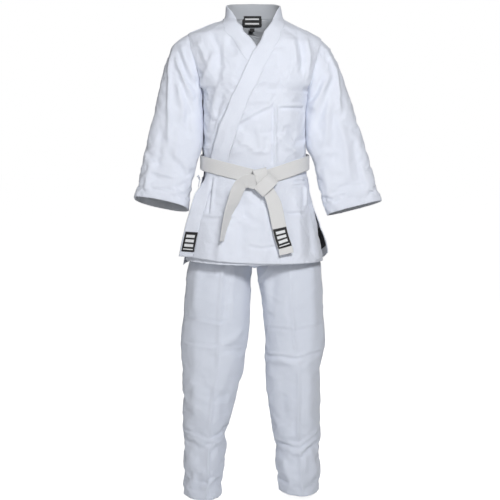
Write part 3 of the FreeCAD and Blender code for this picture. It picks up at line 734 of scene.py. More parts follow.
def dress(P, N, seed, amount=1.0):
    """The jacket's folds, front and back, with a fine rumple over them."""
    P = fold(P, N, CHEST + SKIRT, -1)
    P = fold(P, N, BACK, 1)
    P = rumple(P, N, 95, 1.2 * amount, seed)
    pulled = (0.25 + 0.9 * np.exp(-((P[..., 2] + 375) / 60) ** 2)
              + 0.9 * np.exp(-((np.abs(P[..., 0]) - 145) / 38) ** 2 - ((P[..., 2] + 190) / 80) ** 2))
    P = crinkle(P, N, 85, 1.6 * amount, seed + 2, pulled)
    return rumple(P, N, 34, 0.35 * amount, seed + 1)


def flap(P, z, reach):
    """Below the belt the outer front's corner stands off the wearer and faces the front."""
    share = ease((-446 - z) / 60)[..., None]
    way = np.array([-0.93, 0.37, 0.0])
    straight = P[:, :1] + reach[..., None] * way
    straight[..., 2] = P[..., 2]
    return P * (1 - share) + straight * share


def band(side, stations):
    """One side's collar band: a folded strip with a row of stitches near each edge."""
    edge, seam = through(EDGE[side], stations), through(SEAM[side], stations)
    cols = 15
    share = np.linspace(0, 1, cols)[None, :, None]
    mixed = seam[:, None, :] * (1 - share) + edge[:, None, :] * share
    z, angle = mixed[..., 0], mixed[..., 1]
    rise = 0.25 + 1.6 * ease(share[..., 0] * 1.6)
    P = torso(z, world_angle(side, angle), out_of(side, np.clip(angle, 0, 180)) + rise)
    if side > 0:
        P = flap(P, z, share[..., 0] * 45.0)
    drop = ease((-500 - z) / 200) * (stations[:, None] < 7)
    P[..., 2] += drop * (hem_height(side, P[..., 0]) + 700)
    return P


def jacket():
    made = {}
    for side, name in ((1, "left"), (-1, "right")):
        P, angle = front(side)
        smooth = P
        N = outward(P)
        P = dress(P, N, 11)
        hold = np.full(P.shape[:2], 0.35)
        hold[:, :2] = hold[:, -3:] = 1
        hold[P[..., 2] > -30] = 1
        hold[(P[..., 2] < -385) & (P[..., 2] > -480)] = 1
        hold[P[..., 2] < -560] = 0.5
        Q = settle(P, hold, slack=0.012)
        N = outward(Q)
        v, u = lengths(Q, 0), lengths(Q, 1)
        to_hem = v[-1:] - v
        seam = seam_from(np.abs(to_hem - 22), along=u)
        facing = to_hem < 22
        thick = np.where(facing, CLOTH + 1.1, CLOTH)
        ob = shell(f"jacket_{name}_front", Q + N * np.where(facing, 0.5, 0)[..., None], thick,
                   N=N, seam=seam, uv=np.stack([u, v], -1), turned=side < 0)
        ob["cut"] = cut(smooth)
        made[name] = (ob, Q)

        stations = np.concatenate([np.linspace(0, 7, 116)[:-1], np.linspace(7, 9.2, 40)])
        B = band(side, stations)
        smooth = B
        NB = outward(B)
        B = dress(B, NB, 11, 1.0)
        u, v = lengths(B, 1), lengths(B, 0)
        width = u[:, -1:]
        round_edge = np.clip((width - u) / 2.2, 0, 1)
        lift = 1.1 * np.sqrt(np.clip(1 - (1 - round_edge) ** 2, 0, 1)) - 1.1
        seam = seam_from(np.abs(u - 4), np.abs(width - 4 - u), along=v)
        ob = shell(f"jacket_{name}_collar_band", B + NB * lift[..., None],
                   BAND + 2 * lift, N=NB, seam=seam, uv=np.stack([u, v], -1), turned=side < 0)
        ob["cut"] = cut(smooth)
        made[name + "_band"] = (ob, B)
    return made


def back():
    """The back, from the neck seam to the hem, free of the fronts below the two vents."""
    heights = np.concatenate([np.linspace(-5, -40, 14)[:-1], np.linspace(-40, -110, 15)[:-1],
                              np.linspace(-110, -704, 150)])
    left, right = side_angle(heights, 1), side_angle(heights, -1)
    cols = 163
    share = np.linspace(0, 1, cols)
    angle = -left[:, None] + (-180 + right + left)[:, None] * share
    z = heights[:, None] + 0 * angle
    P = torso(z, angle, 0.0)
    flare = ease((-500 - z) / 200) ** 1.2
    edge = np.abs(share * 2 - 1)[None, :] ** 6
    P[..., 0] += flare * edge * np.where(share < 0.5, 17, -4)[None, :]
    P[..., 1] += flare * edge * 16
    P[..., 2] += flare * np.where(share < 0.5, 30, -6)[None, :] * edge
    smooth = P
    N = outward(P)
    P = dress(P, N, 11)
    hold = np.full(P.shape[:2], 0.35)
    hold[:, :2] = hold[:, -2:] = 1
    hold[P[..., 2] > -30] = 1
    hold[(P[..., 2] < -385) & (P[..., 2] > -480)] = 1
    hold[P[..., 2] < -560] = 0.5
    Q = settle(P, hold, slack=0.012)
    N = outward(Q)
    v, u = lengths(Q, 0), lengths(Q, 1)
    to_hem = v[-1:] - v
    middle = np.abs(u - u[:, cols // 2][:, None])
    below = Q[..., 2] < -500
    to_side = np.minimum(u, u[:, -1:] - u)
    seam = seam_from(np.abs(to_hem - 22), np.abs(middle - 3.5),
                     np.where(below, np.abs(to_side - 14), 500), along=v)
    facing = (to_hem < 22) | (below & (to_side < 14))
    ob = shell("jacket_back", Q + N * np.where(facing, 0.5, 0)[..., None],
               np.where(facing, CLOTH + 1.1, CLOTH), N=N, seam=seam, uv=np.stack([u, v], -1),
               turned=True)
    ob["cut"] = cut(smooth)
    return ob, Q


def back_collar():
    """The standing collar round the nape, joined end to end with both bands."""
    half = np.linspace(9.2, 12, 34)
    edge, seam = through(EDGE[1], half), through(SEAM[1], half)
    cols = 15
    share = np.linspace(0, 1, cols)[None, :, None]
    mixed = seam[:, None, :] * (1 - share) + edge[:, None, :] * share
    z, angle = mixed[..., 0], mixed[..., 1]
    angles = np.concatenate([angle, (-180 - angle)[-2::-1]])
    heights = np.concatenate([z, z[-2::-1]])
    rise = 0.5 + 1.2 * ease(share[..., 0] * 2.5)
    P = torso(heights, angles, rise)
    N = outward(P)
    u, v = lengths(P, 1), lengths(P, 0)
    width = u[:, -1:]
    round_edge = np.clip(np.minimum(u, width - u) / 2.2, 0, 1)
    lift = 1.1 * np.sqrt(np.clip(1 - (1 - round_edge) ** 2, 0, 1)) - 1.1
    seam = seam_from(np.abs(u - 4), np.abs(width - 4 - u), along=v)
    ob = shell("jacket_back_collar", P + N * lift[..., None], BAND + 2 * lift, N=N, seam=seam,
               uv=np.stack([u, v], -1))
    ob["cut"] = cut(P)
    return ob, P


SLEEVES = {
    # share of the length, inner (x, z), outer (x, z), half depth, middle's y
    1: [(0, 149, -222, 190, -63, 60, 0), (.12, 150, -252, 222, -100, 61, -4),
        (.25, 148, -292, 247, -158, 58, -9), (.45, 150, -362, 286, -275, 51, -18),
        (.6, 171, -410, 314, -360, 47, -26), (.8, 185, -482, 338, -440, 44, -34),
        (1, 210, -562, 363, -522, 42, -40)],
    -1: [(0, -150, -205, -191.5, -49, 60, 0), (.12, -151, -236, -226, -77, 61, -4),
         (.25, -147, -284, -254, -142, 58, -9), (.45, -148, -356, -283, -262, 51, -18),
         (.6, -160, -402, -304, -348, 47, -26), (.8, -178, -470, -322, -432, 44, -34),
         (1, -189, -547, -341, -515, 42, -40)],
}
SLEEVE_FOLDS = {
    1: [
        ("crease", 12, 3.5, [(203, -100), (229, -150), (236, -210), (240, -280)]),
        ("soft", 10, 3.0, [(212, -156), (188, -208), (162, -274)]),
        ("soft", 9, -3.0, [(200, -160), (178, -208), (158, -250)]),
        ("soft", 9, -2.4, [(224, -170), (204, -222), (184, -280), (172, -330)]),
        ("soft", 9, 2.2, [(210, -230), (206, -300), (200, -370)]),
        ("soft", 9, -2.2, [(224, -260), (226, -340), (222, -420)]),
        ("soft", 9, 2.4, [(248, -300), (258, -380), (268, -470)]),
        ("soft", 10, -2.0, [(276, -330), (292, -420), (304, -500)]),
        ("soft", 8, 2.0, [(196, -420), (206, -470), (218, -520)]),
        ("soft", 9, 1.4, [(176, -400), (200, -384), (236, -376)]),
    ],
    -1: [
        ("crease", 12, 3.5, [(-226, -92), (-238, -150), (-239, -230), (-240, -380)]),
        ("soft", 8, 2.4, [(-206, -76), (-200, -110), (-184, -150), (-164, -190)]),
        ("soft", 8, -2.6, [(-214, -90), (-206, -126), (-188, -170), (-164, -216)]),
        ("soft", 8, 2.4, [(-222, -106), (-208, -150), (-188, -200), (-166, -244)]),
        ("soft", 8, -2.0, [(-222, -140), (-206, -190), (-186, -240), (-160, -290)]),
        ("soft", 8, 2.0, [(-216, -180), (-204, -240), (-196, -300)]),
        ("soft", 9, -2.4, [(-190, -262), (-187, -300), (-183, -346)]),
        ("soft", 10, 1.6, [(-232, -370), (-206, -402), (-180, -436)]),
        ("soft", 10, -1.4, [(-236, -392), (-210, -424), (-186, -456)]),
        ("soft", 9, 2.0, [(-214, -300), (-220, -360), (-222, -430)]),
        ("soft", 10, -2.0, [(-258, -300), (-270, -390), (-280, -480)]),
        ("soft", 9, 2.0, [(-288, -390), (-300, -450), (-306, -506)]),
        ("soft", 10, 1.2, [(-216, -446), (-256, -440), (-300, -430)]),
    ],
}
SLEEVE_BACK = {
    1: [("soft", 10, 2.6, [(176, -96), (196, -170), (200, -250)]),
        ("soft", 9, -2.4, [(160, -140), (176, -210), (180, -290)]),
        ("soft", 10, 2.4, [(220, -170), (240, -270), (262, -380)]),
        ("soft", 10, -2.2, [(196, -290), (216, -390), (240, -500)]),
        ("crease", 9, 2.2, [(300, -330), (322, -420), (340, -510)])],
    -1: [("soft", 10, 2.6, [(-178, -92), (-196, -166), (-200, -246)]),
         ("soft", 9, -2.4, [(-160, -136), (-176, -206), (-180, -286)]),
         ("soft", 10, 2.4, [(-220, -166), (-238, -266), (-256, -376)]),
         ("soft", 10, -2.2, [(-190, -290), (-208, -390), (-226, -490)]),
         ("crease", 9, 2.2, [(-292, -320), (-306, -410), (-320, -500)])],
}


def sleeve_grid(side, shares, cols, inset=0.0):
    """Rings round the arm. The first ring lies on the armhole, where the panels end."""
    row = through(SLEEVES[side], shares)
    xi, zi, xo, zo, half, mid_y = np.moveaxis(row, -1, 0)
    turn = np.linspace(0, 2 * math.pi, cols, endpoint=False)
    c, s = np.cos(turn)[None, :], np.sin(turn)[None, :]
    flat = 1 - 0.16 * ease(shares / 0.5)[:, None]
    c2, s2 = np.sign(c) * np.abs(c) ** flat, np.sign(s) * np.abs(s) ** flat
    reach = np.hypot(xo - xi, zo - zi) / 2
    shrink = ((reach - inset) / reach)[:, None]
    x = (xi + xo)[:, None] / 2 + (xo - xi)[:, None] / 2 * c2 * shrink
    z = (zi + zo)[:, None] / 2 + (zo - zi)[:, None] / 2 * c2 * shrink
    z = z + (15.0 if side < 0 else 8.0) * ease((shares - 0.72) / 0.28)[:, None] * s2
    P = np.stack([x, mid_y[:, None] - (half[:, None] - inset) * s2, z], -1)
    (x1, z1), (x2, z2) = ARMHOLE[side]
    hx, hz = (x1 + x2) / 2 + (x1 - x2) / 2 * c, (z1 + z2) / 2 + (z1 - z2) / 2 * c
    right, left, fr, bk, square = np.moveaxis(through(TORSO, hz), -1, 0)
    part = np.clip(np.abs((hx - (left + right) / 2) / ((left - right) / 2)), 0, 1)
    hy = -np.sign(s) * np.where(s > 0, fr, bk) * (1 - part ** square) ** (1 / square)
    hole = np.stack([hx - side * 3.0, hy * 0.985, hz - 1.0], -1)
    keep = (1 - ease(shares / 0.2))[:, None, None]
    return P + (hole - P[0:1]) * keep


def sleeves():
    made = {}
    for side, name in ((1, "left"), (-1, "right")):
        shares = np.linspace(0, 1, 130)
        P = sleeve_grid(side, shares, 102)
        smooth = P
        centre = P.mean(1, keepdims=True)
        N = normals(P, True)
        if np.sum(N * (P - centre)) < 0:
            N = -N
        P = fold(P, N, SLEEVE_FOLDS[side], -1)
        P = fold(P, N, SLEEVE_BACK[side], 1)
        free = ease(shares / 0.1)[:, None]
        P = rumple(P, N, 80, 1.2, 31 + side, free)
        P = crinkle(P, N, 90, 1.7, 35 + side, free * (1 - 0.6 * ease(shares / 0.9))[:, None])
        P = rumple(P, N, 30, 0.4, 41 + side, free)
        hold = np.full(P.shape[:2], 0.3)
        hold[:3] = 1
        hold[-8:] = 0.6
        P = settle(P, hold, loop=True, slack=0.015)
        N = normals(P, True)
        if np.sum(N * (P - P.mean(1, keepdims=True))) < 0:
            N = -N
        v, u = lengths(P, 0), lengths(np.concatenate([P, P[:, :1]], 1), 1)[:, :-1]
        to_cuff = v[-1:] - v
        facing = to_cuff < 40
        seam = seam_from(np.abs(to_cuff - 40), np.abs(to_cuff - 3), np.abs(v - 5), along=u)
        ob = shell(f"{name}_sleeve_cloth", P + N * np.where(facing, 1.0, 0)[..., None],
                   np.where(facing, CLOTH + 0.9, CLOTH), loop=True, N=N, seam=seam,
                   uv=np.stack([u, v], -1), turned=side < 0)
        ob["cut"] = cut(smooth, True)
        rows = int((v[-1].mean() - 42) / v[-1].mean() * len(shares))
        F = (P - N * 2.2)[rows:]
        facing_ob = shell(f"{name}_cuff_facing", F, 1.3, loop=True, N=N[rows:],
                          seam=seam[rows:], turned=side < 0)
        facing_ob["cut"] = cut(smooth[rows:], True)
        made[name] = (ob, facing_ob)
    return made


# ---- Ribbons: the belt, its knot and its tails ----------------------------------------------

def spline(points, count):
    """Points evenly spread along a smooth curve through the given ones, with other columns."""
    rows = np.array(points, float)
    gone = np.concatenate([[0], np.cumsum(np.linalg.norm(np.diff(rows[:, :3], axis=0), axis=1))])
    table = [(g, *r) for g, r in zip(gone, rows)]
    return through(table, np.linspace(0, gone[-1], count))


def ribbon(name, centre, across, width, thick, stitches=9, closed=False, taper=None):
    """A flat stitched strip along a line, with rounded edges and a groove for each stitch row."""
    centre, across = np.asarray(centre, float), np.asarray(across, float)
    along = (np.roll(centre, -1, 0) - np.roll(centre, 1, 0)) if closed else np.gradient(
        centre, axis=0)
    along /= np.linalg.norm(along, axis=1, keepdims=True)
    across = across - along * np.sum(across * along, 1, keepdims=True)
    across /= np.linalg.norm(across, axis=1, keepdims=True)
    up = np.cross(along, across)
    cols = 4 * stitches + 5
    s = np.linspace(-1, 1, cols)
    edge = np.sqrt(np.clip(1 - ((np.abs(s) - 0.93) / 0.07).clip(0, 1) ** 2, 0, 1))
    place = (s * (stitches + 1) / 2 + (stitches + 1) / 2) % 1.0
    groove = np.where(np.abs(s) < 0.9, np.exp(-(np.minimum(place, 1 - place) / 0.16) ** 2), 0)
    half = thick / 2 * (0.25 + 0.75 * edge) - 0.28 * groove
    wide = np.broadcast_to(width if taper is None else width * np.asarray(taper),
                           (len(centre),)) / 2
    grid = centre[:, None] + across[:, None] * (s[None, :] * wide[:, None])[..., None]
    top, low = grid + up[:, None] * half[None, :, None], grid - up[:, None] * half[None, :, None]
    P = np.concatenate([top, low[:, ::-1]], 1)
    n_rows, n_cols = P.shape[:2]
    faces = grid_faces(n_rows, n_cols, True)
    points = P.reshape(-1, 3)
    if closed:
        last = np.stack([np.arange(n_cols) + (n_rows - 1) * n_cols,
                         (np.arange(n_cols) + 1) % n_cols + (n_rows - 1) * n_cols,
                         (np.arange(n_cols) + 1) % n_cols, np.arange(n_cols)], -1)
        faces = np.concatenate([faces, last])
    else:
        caps = []
        for row, flip in ((0, False), (n_rows - 1, True)):
            a = row * n_cols + np.arange(cols - 1)
            b = row * n_cols + n_cols - 1 - np.arange(cols - 1)
            quads = np.stack([a, b, b - 1, a + 1], -1)
            caps.append(quads[:, ::-1] if flip else quads)
        faces = np.concatenate([faces] + caps)
    v = np.concatenate([[0], np.cumsum(np.linalg.norm(np.diff(centre, axis=0), axis=1))])
    u = np.concatenate([s, s[::-1]])[None, :] * width / 2 + width / 2
    uv = np.stack([np.broadcast_to(u, P.shape[:2]), np.broadcast_to(v[:, None], P.shape[:2])], -1)
    row = np.concatenate([place, place[::-1]])[None, :]
    pitch = width / (stitches + 1)
    seam = np.stack([np.broadcast_to(np.minimum(row, 1 - row) * pitch, P.shape[:2]),
                     uv[..., 1], np.zeros(P.shape[:2])], -1)
    ob = make_mesh(name, points, faces, uv, seam)
    gone = v[-1] + (np.linalg.norm(centre[0] - centre[-1]) if closed else 0)
    ob["cut"] = [float(width * MM), float(gone * MM), float(width * gone * MM * MM)]
    return ob


def belt_level(x, y):
    """Height of the belt's centre line: level at the back, dipping to the knot in front."""
    dip = np.where(x < 22, -457 + (22 - x) * 0.248, -457 + (x - 22) * 0.325)
    rear = -404 + 0 * x
    share = ease((y + 25) / 110)
    return dip * (1 - share) + rear * share


def belt_wrap(name, out, lower=0.0):
    angle = np.linspace(0, 360, 200, endpoint=False)
    z = np.full(200, -430.0)
    around = np.where(angle < 180, angle, angle - 360)
    hug = 3.2 + 5.6 * ease((np.sin(np.radians(angle)) + 0.35) / 0.9)
    for _ in range(4):
        P = torso(z, around, hug + out)
        z = belt_level(P[:, 0], P[:, 1]) - lower
    P = torso(z, around, hug + out)
    N = torso(z, around, hug + out + 1) - P
    T = np.roll(P, -1, 0) - np.roll(P, 1, 0)
    across = np.cross(T, N)
    across[:, 1] *= 0.6
    return ribbon(name, P, across, 40, BELT, closed=True)


def knot_and_tails():
    """The knot's two visible passes, and the two tails that come out of it."""
    made = {}
    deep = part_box("knot_core")
    front_y = deep[0][1] / MM
    back_y = deep[1][1] / MM
    # the pass that comes up from behind the belt, over its top edge and down the front
    loop = spline([(14, back_y + 4, -452), (14, back_y + 3, -436), (14, back_y - 3, -430),
                   (15, front_y + 5, -433), (18, front_y + 2, -446), (22, front_y + 3, -462),
                   (25, front_y + 6, -480)], 60)
    made["core"] = ribbon("belt_knot_loop", loop, np.tile((1.0, 0.1, 0.22), (60, 1)), 40, BELT,
                          taper=np.interp(np.linspace(0, 1, 60), [0, .4, 1], [1, .96, .8]))
    # the diagonal pass in front of it, folded back under itself at its lower end
    turn = spline([(27, front_y + 5, -479), (17, front_y + 3.5, -489), (11.5, front_y + 1, -494),
                   (12.5, front_y - 2, -493.5), (17, front_y - 4, -489), (28, front_y - 5, -478),
                   (40, front_y - 3, -466), (48, front_y + 3, -458), (53, front_y + 11, -453)], 90)
    made["wrap"] = ribbon("belt_knot_wrap", turn, np.tile((-0.74, 0.0, 0.67), (90, 1)), 38, BELT,
                          taper=np.interp(np.linspace(0, 1, 90), [0, .25, .4, .7, 1],
                                          [.84, .9, .96, 1, .94]))
    left = spline([(34, front_y + 10, -470), (37, front_y + 7, -484), (44, front_y + 4, -500),
                   (53, front_y + 2, -520), (60, front_y + 1, -545), (67, front_y + 1, -580),
                   (76, front_y - 1, -618), (86, front_y - 4, -648), (90, front_y - 6, -665)], 90)
    made["left"] = ribbon("belt_left_tail", left, np.tile((1.0, 0.12, 0.25), (90, 1)), 40, BELT,
                          taper=np.interp(np.linspace(0, 1, 90), [0, .12, .3, 1],
                                          [.62, .82, 1, 1]))
    path = [  # x, y, z of the middle, then the way across
        (14, front_y + 8, -470, 0.05, -0.1, 1.0), (0, front_y + 4, -466, 0.1, -0.25, 1.0),
        (-17, front_y - 3, -462, -0.1, -0.4, 0.9), (-33, front_y - 9, -467, -0.45, -0.5, 0.66),
        (-45, front_y - 9, -485, -0.82, -0.46, 0.3), (-56, front_y - 5, -514, -0.80, -0.56, 0.16),
        (-70, front_y, -548, -0.60, -0.80, 0.1), (-80, front_y + 1, -588, -0.46, -0.88, 0.12),
        (-88, front_y + 1, -630, -0.34, -0.94, 0.1)]
    rows = spline(path, 90)
    made["right"] = ribbon("belt_right_tail", rows[:, :3], rows[:, 3:], 40, BELT)
    return made, left


def patch(corner, right, down, width, height, bend=None):
    """A woven label: a thin rectangle with a raised border, on a plane or on any bend."""
    cols, rows = 25, 33
    u, v = np.meshgrid(np.linspace(0, width, cols), np.linspace(0, height, rows))
    corner, right, down = (np.array(a, float) for a in (corner, right, down))
    P = corner + u[..., None] * right + v[..., None] * down if bend is None else bend(u, v)
    N = normals(P)
    if np.sum(N * np.cross(down, right)) < 0:
        N = -N
    edge = np.minimum(np.minimum(u, width - u), np.minimum(v, height - v))
    border = 0.35 * np.exp(-((edge - 1.3) / 0.8) ** 2) - 0.3 * (edge < 0.2)
    return P, N, u, v, border


def label(name, P, N, u, v, border, material, nodes, slot="woven_label", body=None, blend=None,
          thick=0.8, turned=False, sewn_to=""):
    ob = shell(name, P + N * (border + thick)[..., None], thick, N=N,
               uv=np.stack([u, v], -1), turned=turned)
    ob["cut"] = [float(u.max() * MM), float(v.max() * MM), float(u.max() * v.max() * MM * MM)]
    ob["sewn_to"] = sewn_to
    return finish_piece(ob, material, nodes, body, blend)


# ---- The trousers ---------------------------------------------------------------------------

LEGS = {
    # z, inner x, crease x, outer x, front depth, back depth
    -1: [(-650, -4, -80, -170, 84, 88), (-692, -7, -86, -185, 86, 90),
         (-755, -9.5, -92, -197, 86, 88), (-813, -11, -97, -202, 86, 88),
         (-857, -13, -99, -205, 84, 88), (-893, -16, -101, -209, 83, 87),
         (-928, -20, -102, -212, 82, 87), (-964, -25, -103, -211, 81, 86),
         (-1004, -31, -105, -208, 80, 85), (-1050, -42, -115, -208, 78, 83),
         (-1080, -50, -119, -208, 77, 82), (-1139, -65, -126, -208, 75, 80),
         (-1211, -83, -129, -205, 73, 79), (-1240, -83, -130, -207, 73, 79),
         (-1293, -89, -133, -209, 74, 80), (-1388, -98, -138, -208, 76, 82)],
    1: [(-650, 4, 96, 174, 84, 88), (-712, 7, 103, 194, 86, 90), (-755, 13, 105, 197, 86, 88),
        (-834, 26, 109, 199, 86, 88), (-884, 30, 112, 204, 84, 88), (-913, 33, 114, 206, 83, 87),
        (-961, 33, 123, 203, 82, 86), (-992, 33, 126, 197, 81, 85),
        (-1011, 34, 127, 193, 80, 84), (-1080, 38, 126, 193, 77, 82),
        (-1139, 46, 126, 192, 75, 80), (-1187, 54, 127, 192, 74, 80),
        (-1220, 61, 129, 193, 73, 79), (-1240, 65, 131, 191, 73, 79),
        (-1280, 62, 134, 193, 73, 80), (-1301, 64, 135, 195, 74, 80),
        (-1375, 73, 140, 192, 76, 82)],
}
LEG_FOLDS = {
    -1: [
        ("crease", 7, 2.2, [(-86, -692), (-97, -813), (-101, -893), (-103, -964), (-106, -1010)]),
        ("crease", 7, 2.2, [(-112, -1030), (-119, -1080), (-126, -1139), (-129, -1195)]),
        ("crease", 7, 2.4, [(-130, -1215), (-133, -1293), (-138, -1390)]),
        ("press", 2.6, 1.0, [(-60, -861), (-102, -866), (-150, -860), (-212, -858)]),
        ("step", 4, 0.8, [(-60, -861), (-102, -866), (-150, -860), (-212, -858)]),
        ("press", 4, 0.8, [(-96, -935), (-140, -932), (-206, -928)]),
        ("press", 4, 0.6, [(-28, -942), (-60, -938), (-98, -937)]),
        ("press", 3.5, 1.1, [(-78, -1190), (-104, -1197), (-129, -1206), (-160, -1194),
                             (-212, -1188)]),
        ("soft", 10, 1.2, [(-76, -1206), (-104, -1214), (-129, -1224), (-160, -1212),
                           (-208, -1204)]),
        ("press", 3, 1.1, [(-62, -696), (-64, -780), (-66, -862)]),
        ("soft", 10, -1.4, [(-72, -700), (-78, -790), (-84, -858)]),
        ("soft", 10, 1.8, [(-24, -876), (-52, -906), (-96, -936)]),
        ("soft", 9, -1.5, [(-24, -962), (-56, -946), (-96, -944)]),
        ("soft", 12, 1.8, [(-156, -700), (-164, -780), (-172, -850)]),
        ("soft", 14, 1.5, [(-170, -900), (-168, -1000), (-174, -1170)]),
        ("soft", 12, -1.6, [(-60, -1000), (-80, -1080), (-96, -1170)]),
        ("soft", 12, -1.6, [(-158, -1230), (-162, -1300), (-166, -1388)]),
    ],
    1: [
        ("crease", 7, 2.2, [(101, -700), (106, -800), (112, -884), (122, -958)]),
        ("crease", 7, 2.4, [(126, -985), (127, -1040), (126, -1110), (127, -1187), (129, -1220)]),
        ("crease", 7, 2.2, [(131, -1240), (134, -1290), (140, -1376)]),
        ("press", 3.5, 1.0, [(30, -966), (76, -960), (123, -965), (160, -954), (206, -950)]),
        ("soft", 9, 1.4, [(32, -984), (76, -976), (122, -986), (160, -972), (200, -964)]),
        ("soft", 8, -1.6, [(125, -992), (150, -974), (190, -962)]),
        ("press", 4, 0.5, [(30, -884), (80, -880), (112, -884), (160, -876), (200, -874)]),
        ("press", 3.5, 1.1, [(58, -1216), (92, -1220), (129, -1228), (160, -1206), (196, -1186)]),
        ("soft", 9, 1.4, [(62, -1236), (94, -1238), (130, -1246), (164, -1224), (194, -1206)]),
        ("soft", 9, -1.8, [(134, -1256), (160, -1236), (190, -1216)]),
        ("press", 3, 1.3, [(10, -768), (24, -746), (44, -714), (52, -694)]),
        ("soft", 10, -1.6, [(60, -720), (50, -790), (46, -870)]),
        ("soft", 10, 1.5, [(36, -740), (42, -800), (48, -860)]),
        ("soft", 14, 1.5, [(164, -700), (166, -800), (168, -930)]),
        ("soft", 12, 1.4, [(160, -1000), (158, -1090), (162, -1180)]),
        ("soft", 12, -1.6, [(158, -1250), (160, -1300), (164, -1374)]),
        ("soft", 10, 1.6, [(84, -1256), (96, -1310), (104, -1374)]),
        ("soft", 12, -1.4, [(80, -1000), (82, -1080), (88, -1180)]),
    ],
}


def leg_grid(side, heights, quarter):
    row = through(LEGS[side], heights)
    inner, crease, outer, fr, bk = np.moveaxis(row, -1, 0)
    d = np.cos(np.linspace(0, math.pi / 2, quarter, endpoint=False))
    d = np.concatenate([d, [0.0], -d[:0:-1]])            # 1 at the inner side, -1 at the outer
    bulge = (1 - 0.24 * np.abs(d) - 0.76 * np.abs(d) ** 2.4).clip(0) ** 0.62
    d, bulge = np.append(d, -1.0), np.append(bulge, 0.0)
    half_in, half_out = (inner - crease)[:, None], (crease - outer)[:, None]
    x = crease[:, None] + np.where(d > 0, half_in * d, half_out * d)
    front_part = np.stack([x, 3 - fr[:, None] * bulge, heights[:, None] + 0 * x], -1)
    back_part = np.stack([x, 3 + bk[:, None] * bulge, heights[:, None] + 0 * x], -1)
    return np.concatenate([front_part[:, :-1], back_part[:, ::-1][:, :-1]], 1)


def legs():
    made = {}
    for side, name in ((1, "left"), (-1, "right")):
        bottom = LEGS[side][-1][0]
        heights = np.linspace(-655, bottom, 172)
        P = leg_grid(side, heights, 26)
        smooth = P
        N = normals(P, True)
        if np.sum(N * (P - P.mean(1, keepdims=True))) < 0:
            N = -N
        P = fold(P, N, LEG_FOLDS[side], -1)
        P = fold(P, N, LEG_FOLDS[side], 1)
        P = rumple(P, N, 110, 1.3, 51 + side)
        P = crinkle(P, N, 105, 1.3, 55 + side)
        P = rumple(P, N, 36, 0.4, 61 + side)
        hold = np.full(P.shape[:2], 0.3)
        hold[:10] = 1
        hold[-6:] = 0.6
        P = settle(P, hold, loop=True, slack=0.012)
        N = normals(P, True)
        if np.sum(N * (P - P.mean(1, keepdims=True))) < 0:
            N = -N
        v, u = lengths(P, 0), lengths(np.concatenate([P, P[:, :1]], 1), 1)[:, :-1]
        to_hem = v[-1:] - v
        facing = to_hem < 36
        seam = seam_from(np.abs(to_hem - 36), np.abs(to_hem - 3), along=u)
        ob = shell(f"trouser_{name}_leg", P + N * np.where(facing, 0.4, 0)[..., None], CLOTH,
                   loop=True, N=N, seam=seam, uv=np.stack([u, v], -1), turned=side > 0)
        ob["cut"] = cut(smooth, True)
        rows = int((v[-1].mean() - 37) / v[-1].mean() * len(heights))
        F = (P - N * 2.0)[rows:]
        hem = shell(f"trouser_{name}_leg_hem", F, 1.3, loop=True, N=N[rows:], seam=seam[rows:],
                    turned=side > 0)
        hem["cut"] = cut(smooth[rows:], True)
        made[name] = (ob, hem)
    return made


SEAT = [
    # z, half width, front depth, back depth, squareness
    (-448, 125, 89, 90, 2.4), (-500, 134, 95, 98, 2.5), (-550, 146, 101, 104, 2.6),
    (-600, 160, 105, 108, 2.7), (-640, 172, 104, 108, 2.8), (-695, 186, 97, 101, 2.9),
]


def seat_grid(heights, angles, out=0.0):
    half, fr, bk, square = np.moveaxis(through(SEAT, heights), -1, 0)
    half, fr, bk, square = (a[:, None] for a in (half, fr, bk, square))
    c, s = np.cos(np.radians(angles))[None, :], np.sin(np.radians(angles))[None, :]
    power = 2 / square
    x = (half + out) * np.sign(c) * np.abs(c) ** power
    y = -(np.where(s > 0, fr, bk) + out) * np.sign(s) * np.abs(s) ** power
    P = np.stack([x, y, heights[:, None] + 0 * x], -1)
    valley = np.exp(-((x - 1) / 30) ** 2) * ease((-610 - heights) / 85)[:, None]
    P[..., 1] *= 1 - 0.42 * valley
    return P


def seat():
    made = {}
    quarters = {"left_seat_front": (0, 90), "right_seat_front": (90, 180),
                "right_seat_back": (180, 270), "left_seat_back": (270, 360)}
    heights = np.linspace(-449, -696, 44)
    for name, (start, end) in quarters.items():
        angles = np.linspace(start, end, 40)
        P = seat_grid(heights, angles)
        smooth = P
        N = outward(P)
        gather = 1.7 * np.exp(-(-449 - heights) / 34)[:, None]
        P = P + N * (gather * np.sin(np.radians(angles) * 46)[None, :])[..., None]
        P = rumple(P, N, 80, 1.2, 71)
        N = outward(P)
        u, v = lengths(P, 1), lengths(P, 0)
        across = np.minimum(u, u[:, -1:] - u)
        ob = shell(f"trouser_{name}", P, CLOTH, N=N, seam=seam_from(np.abs(across - 4), along=v),
                   uv=np.stack([u, v], -1))
        ob["cut"] = cut(smooth)
        made[name] = ob
    return made


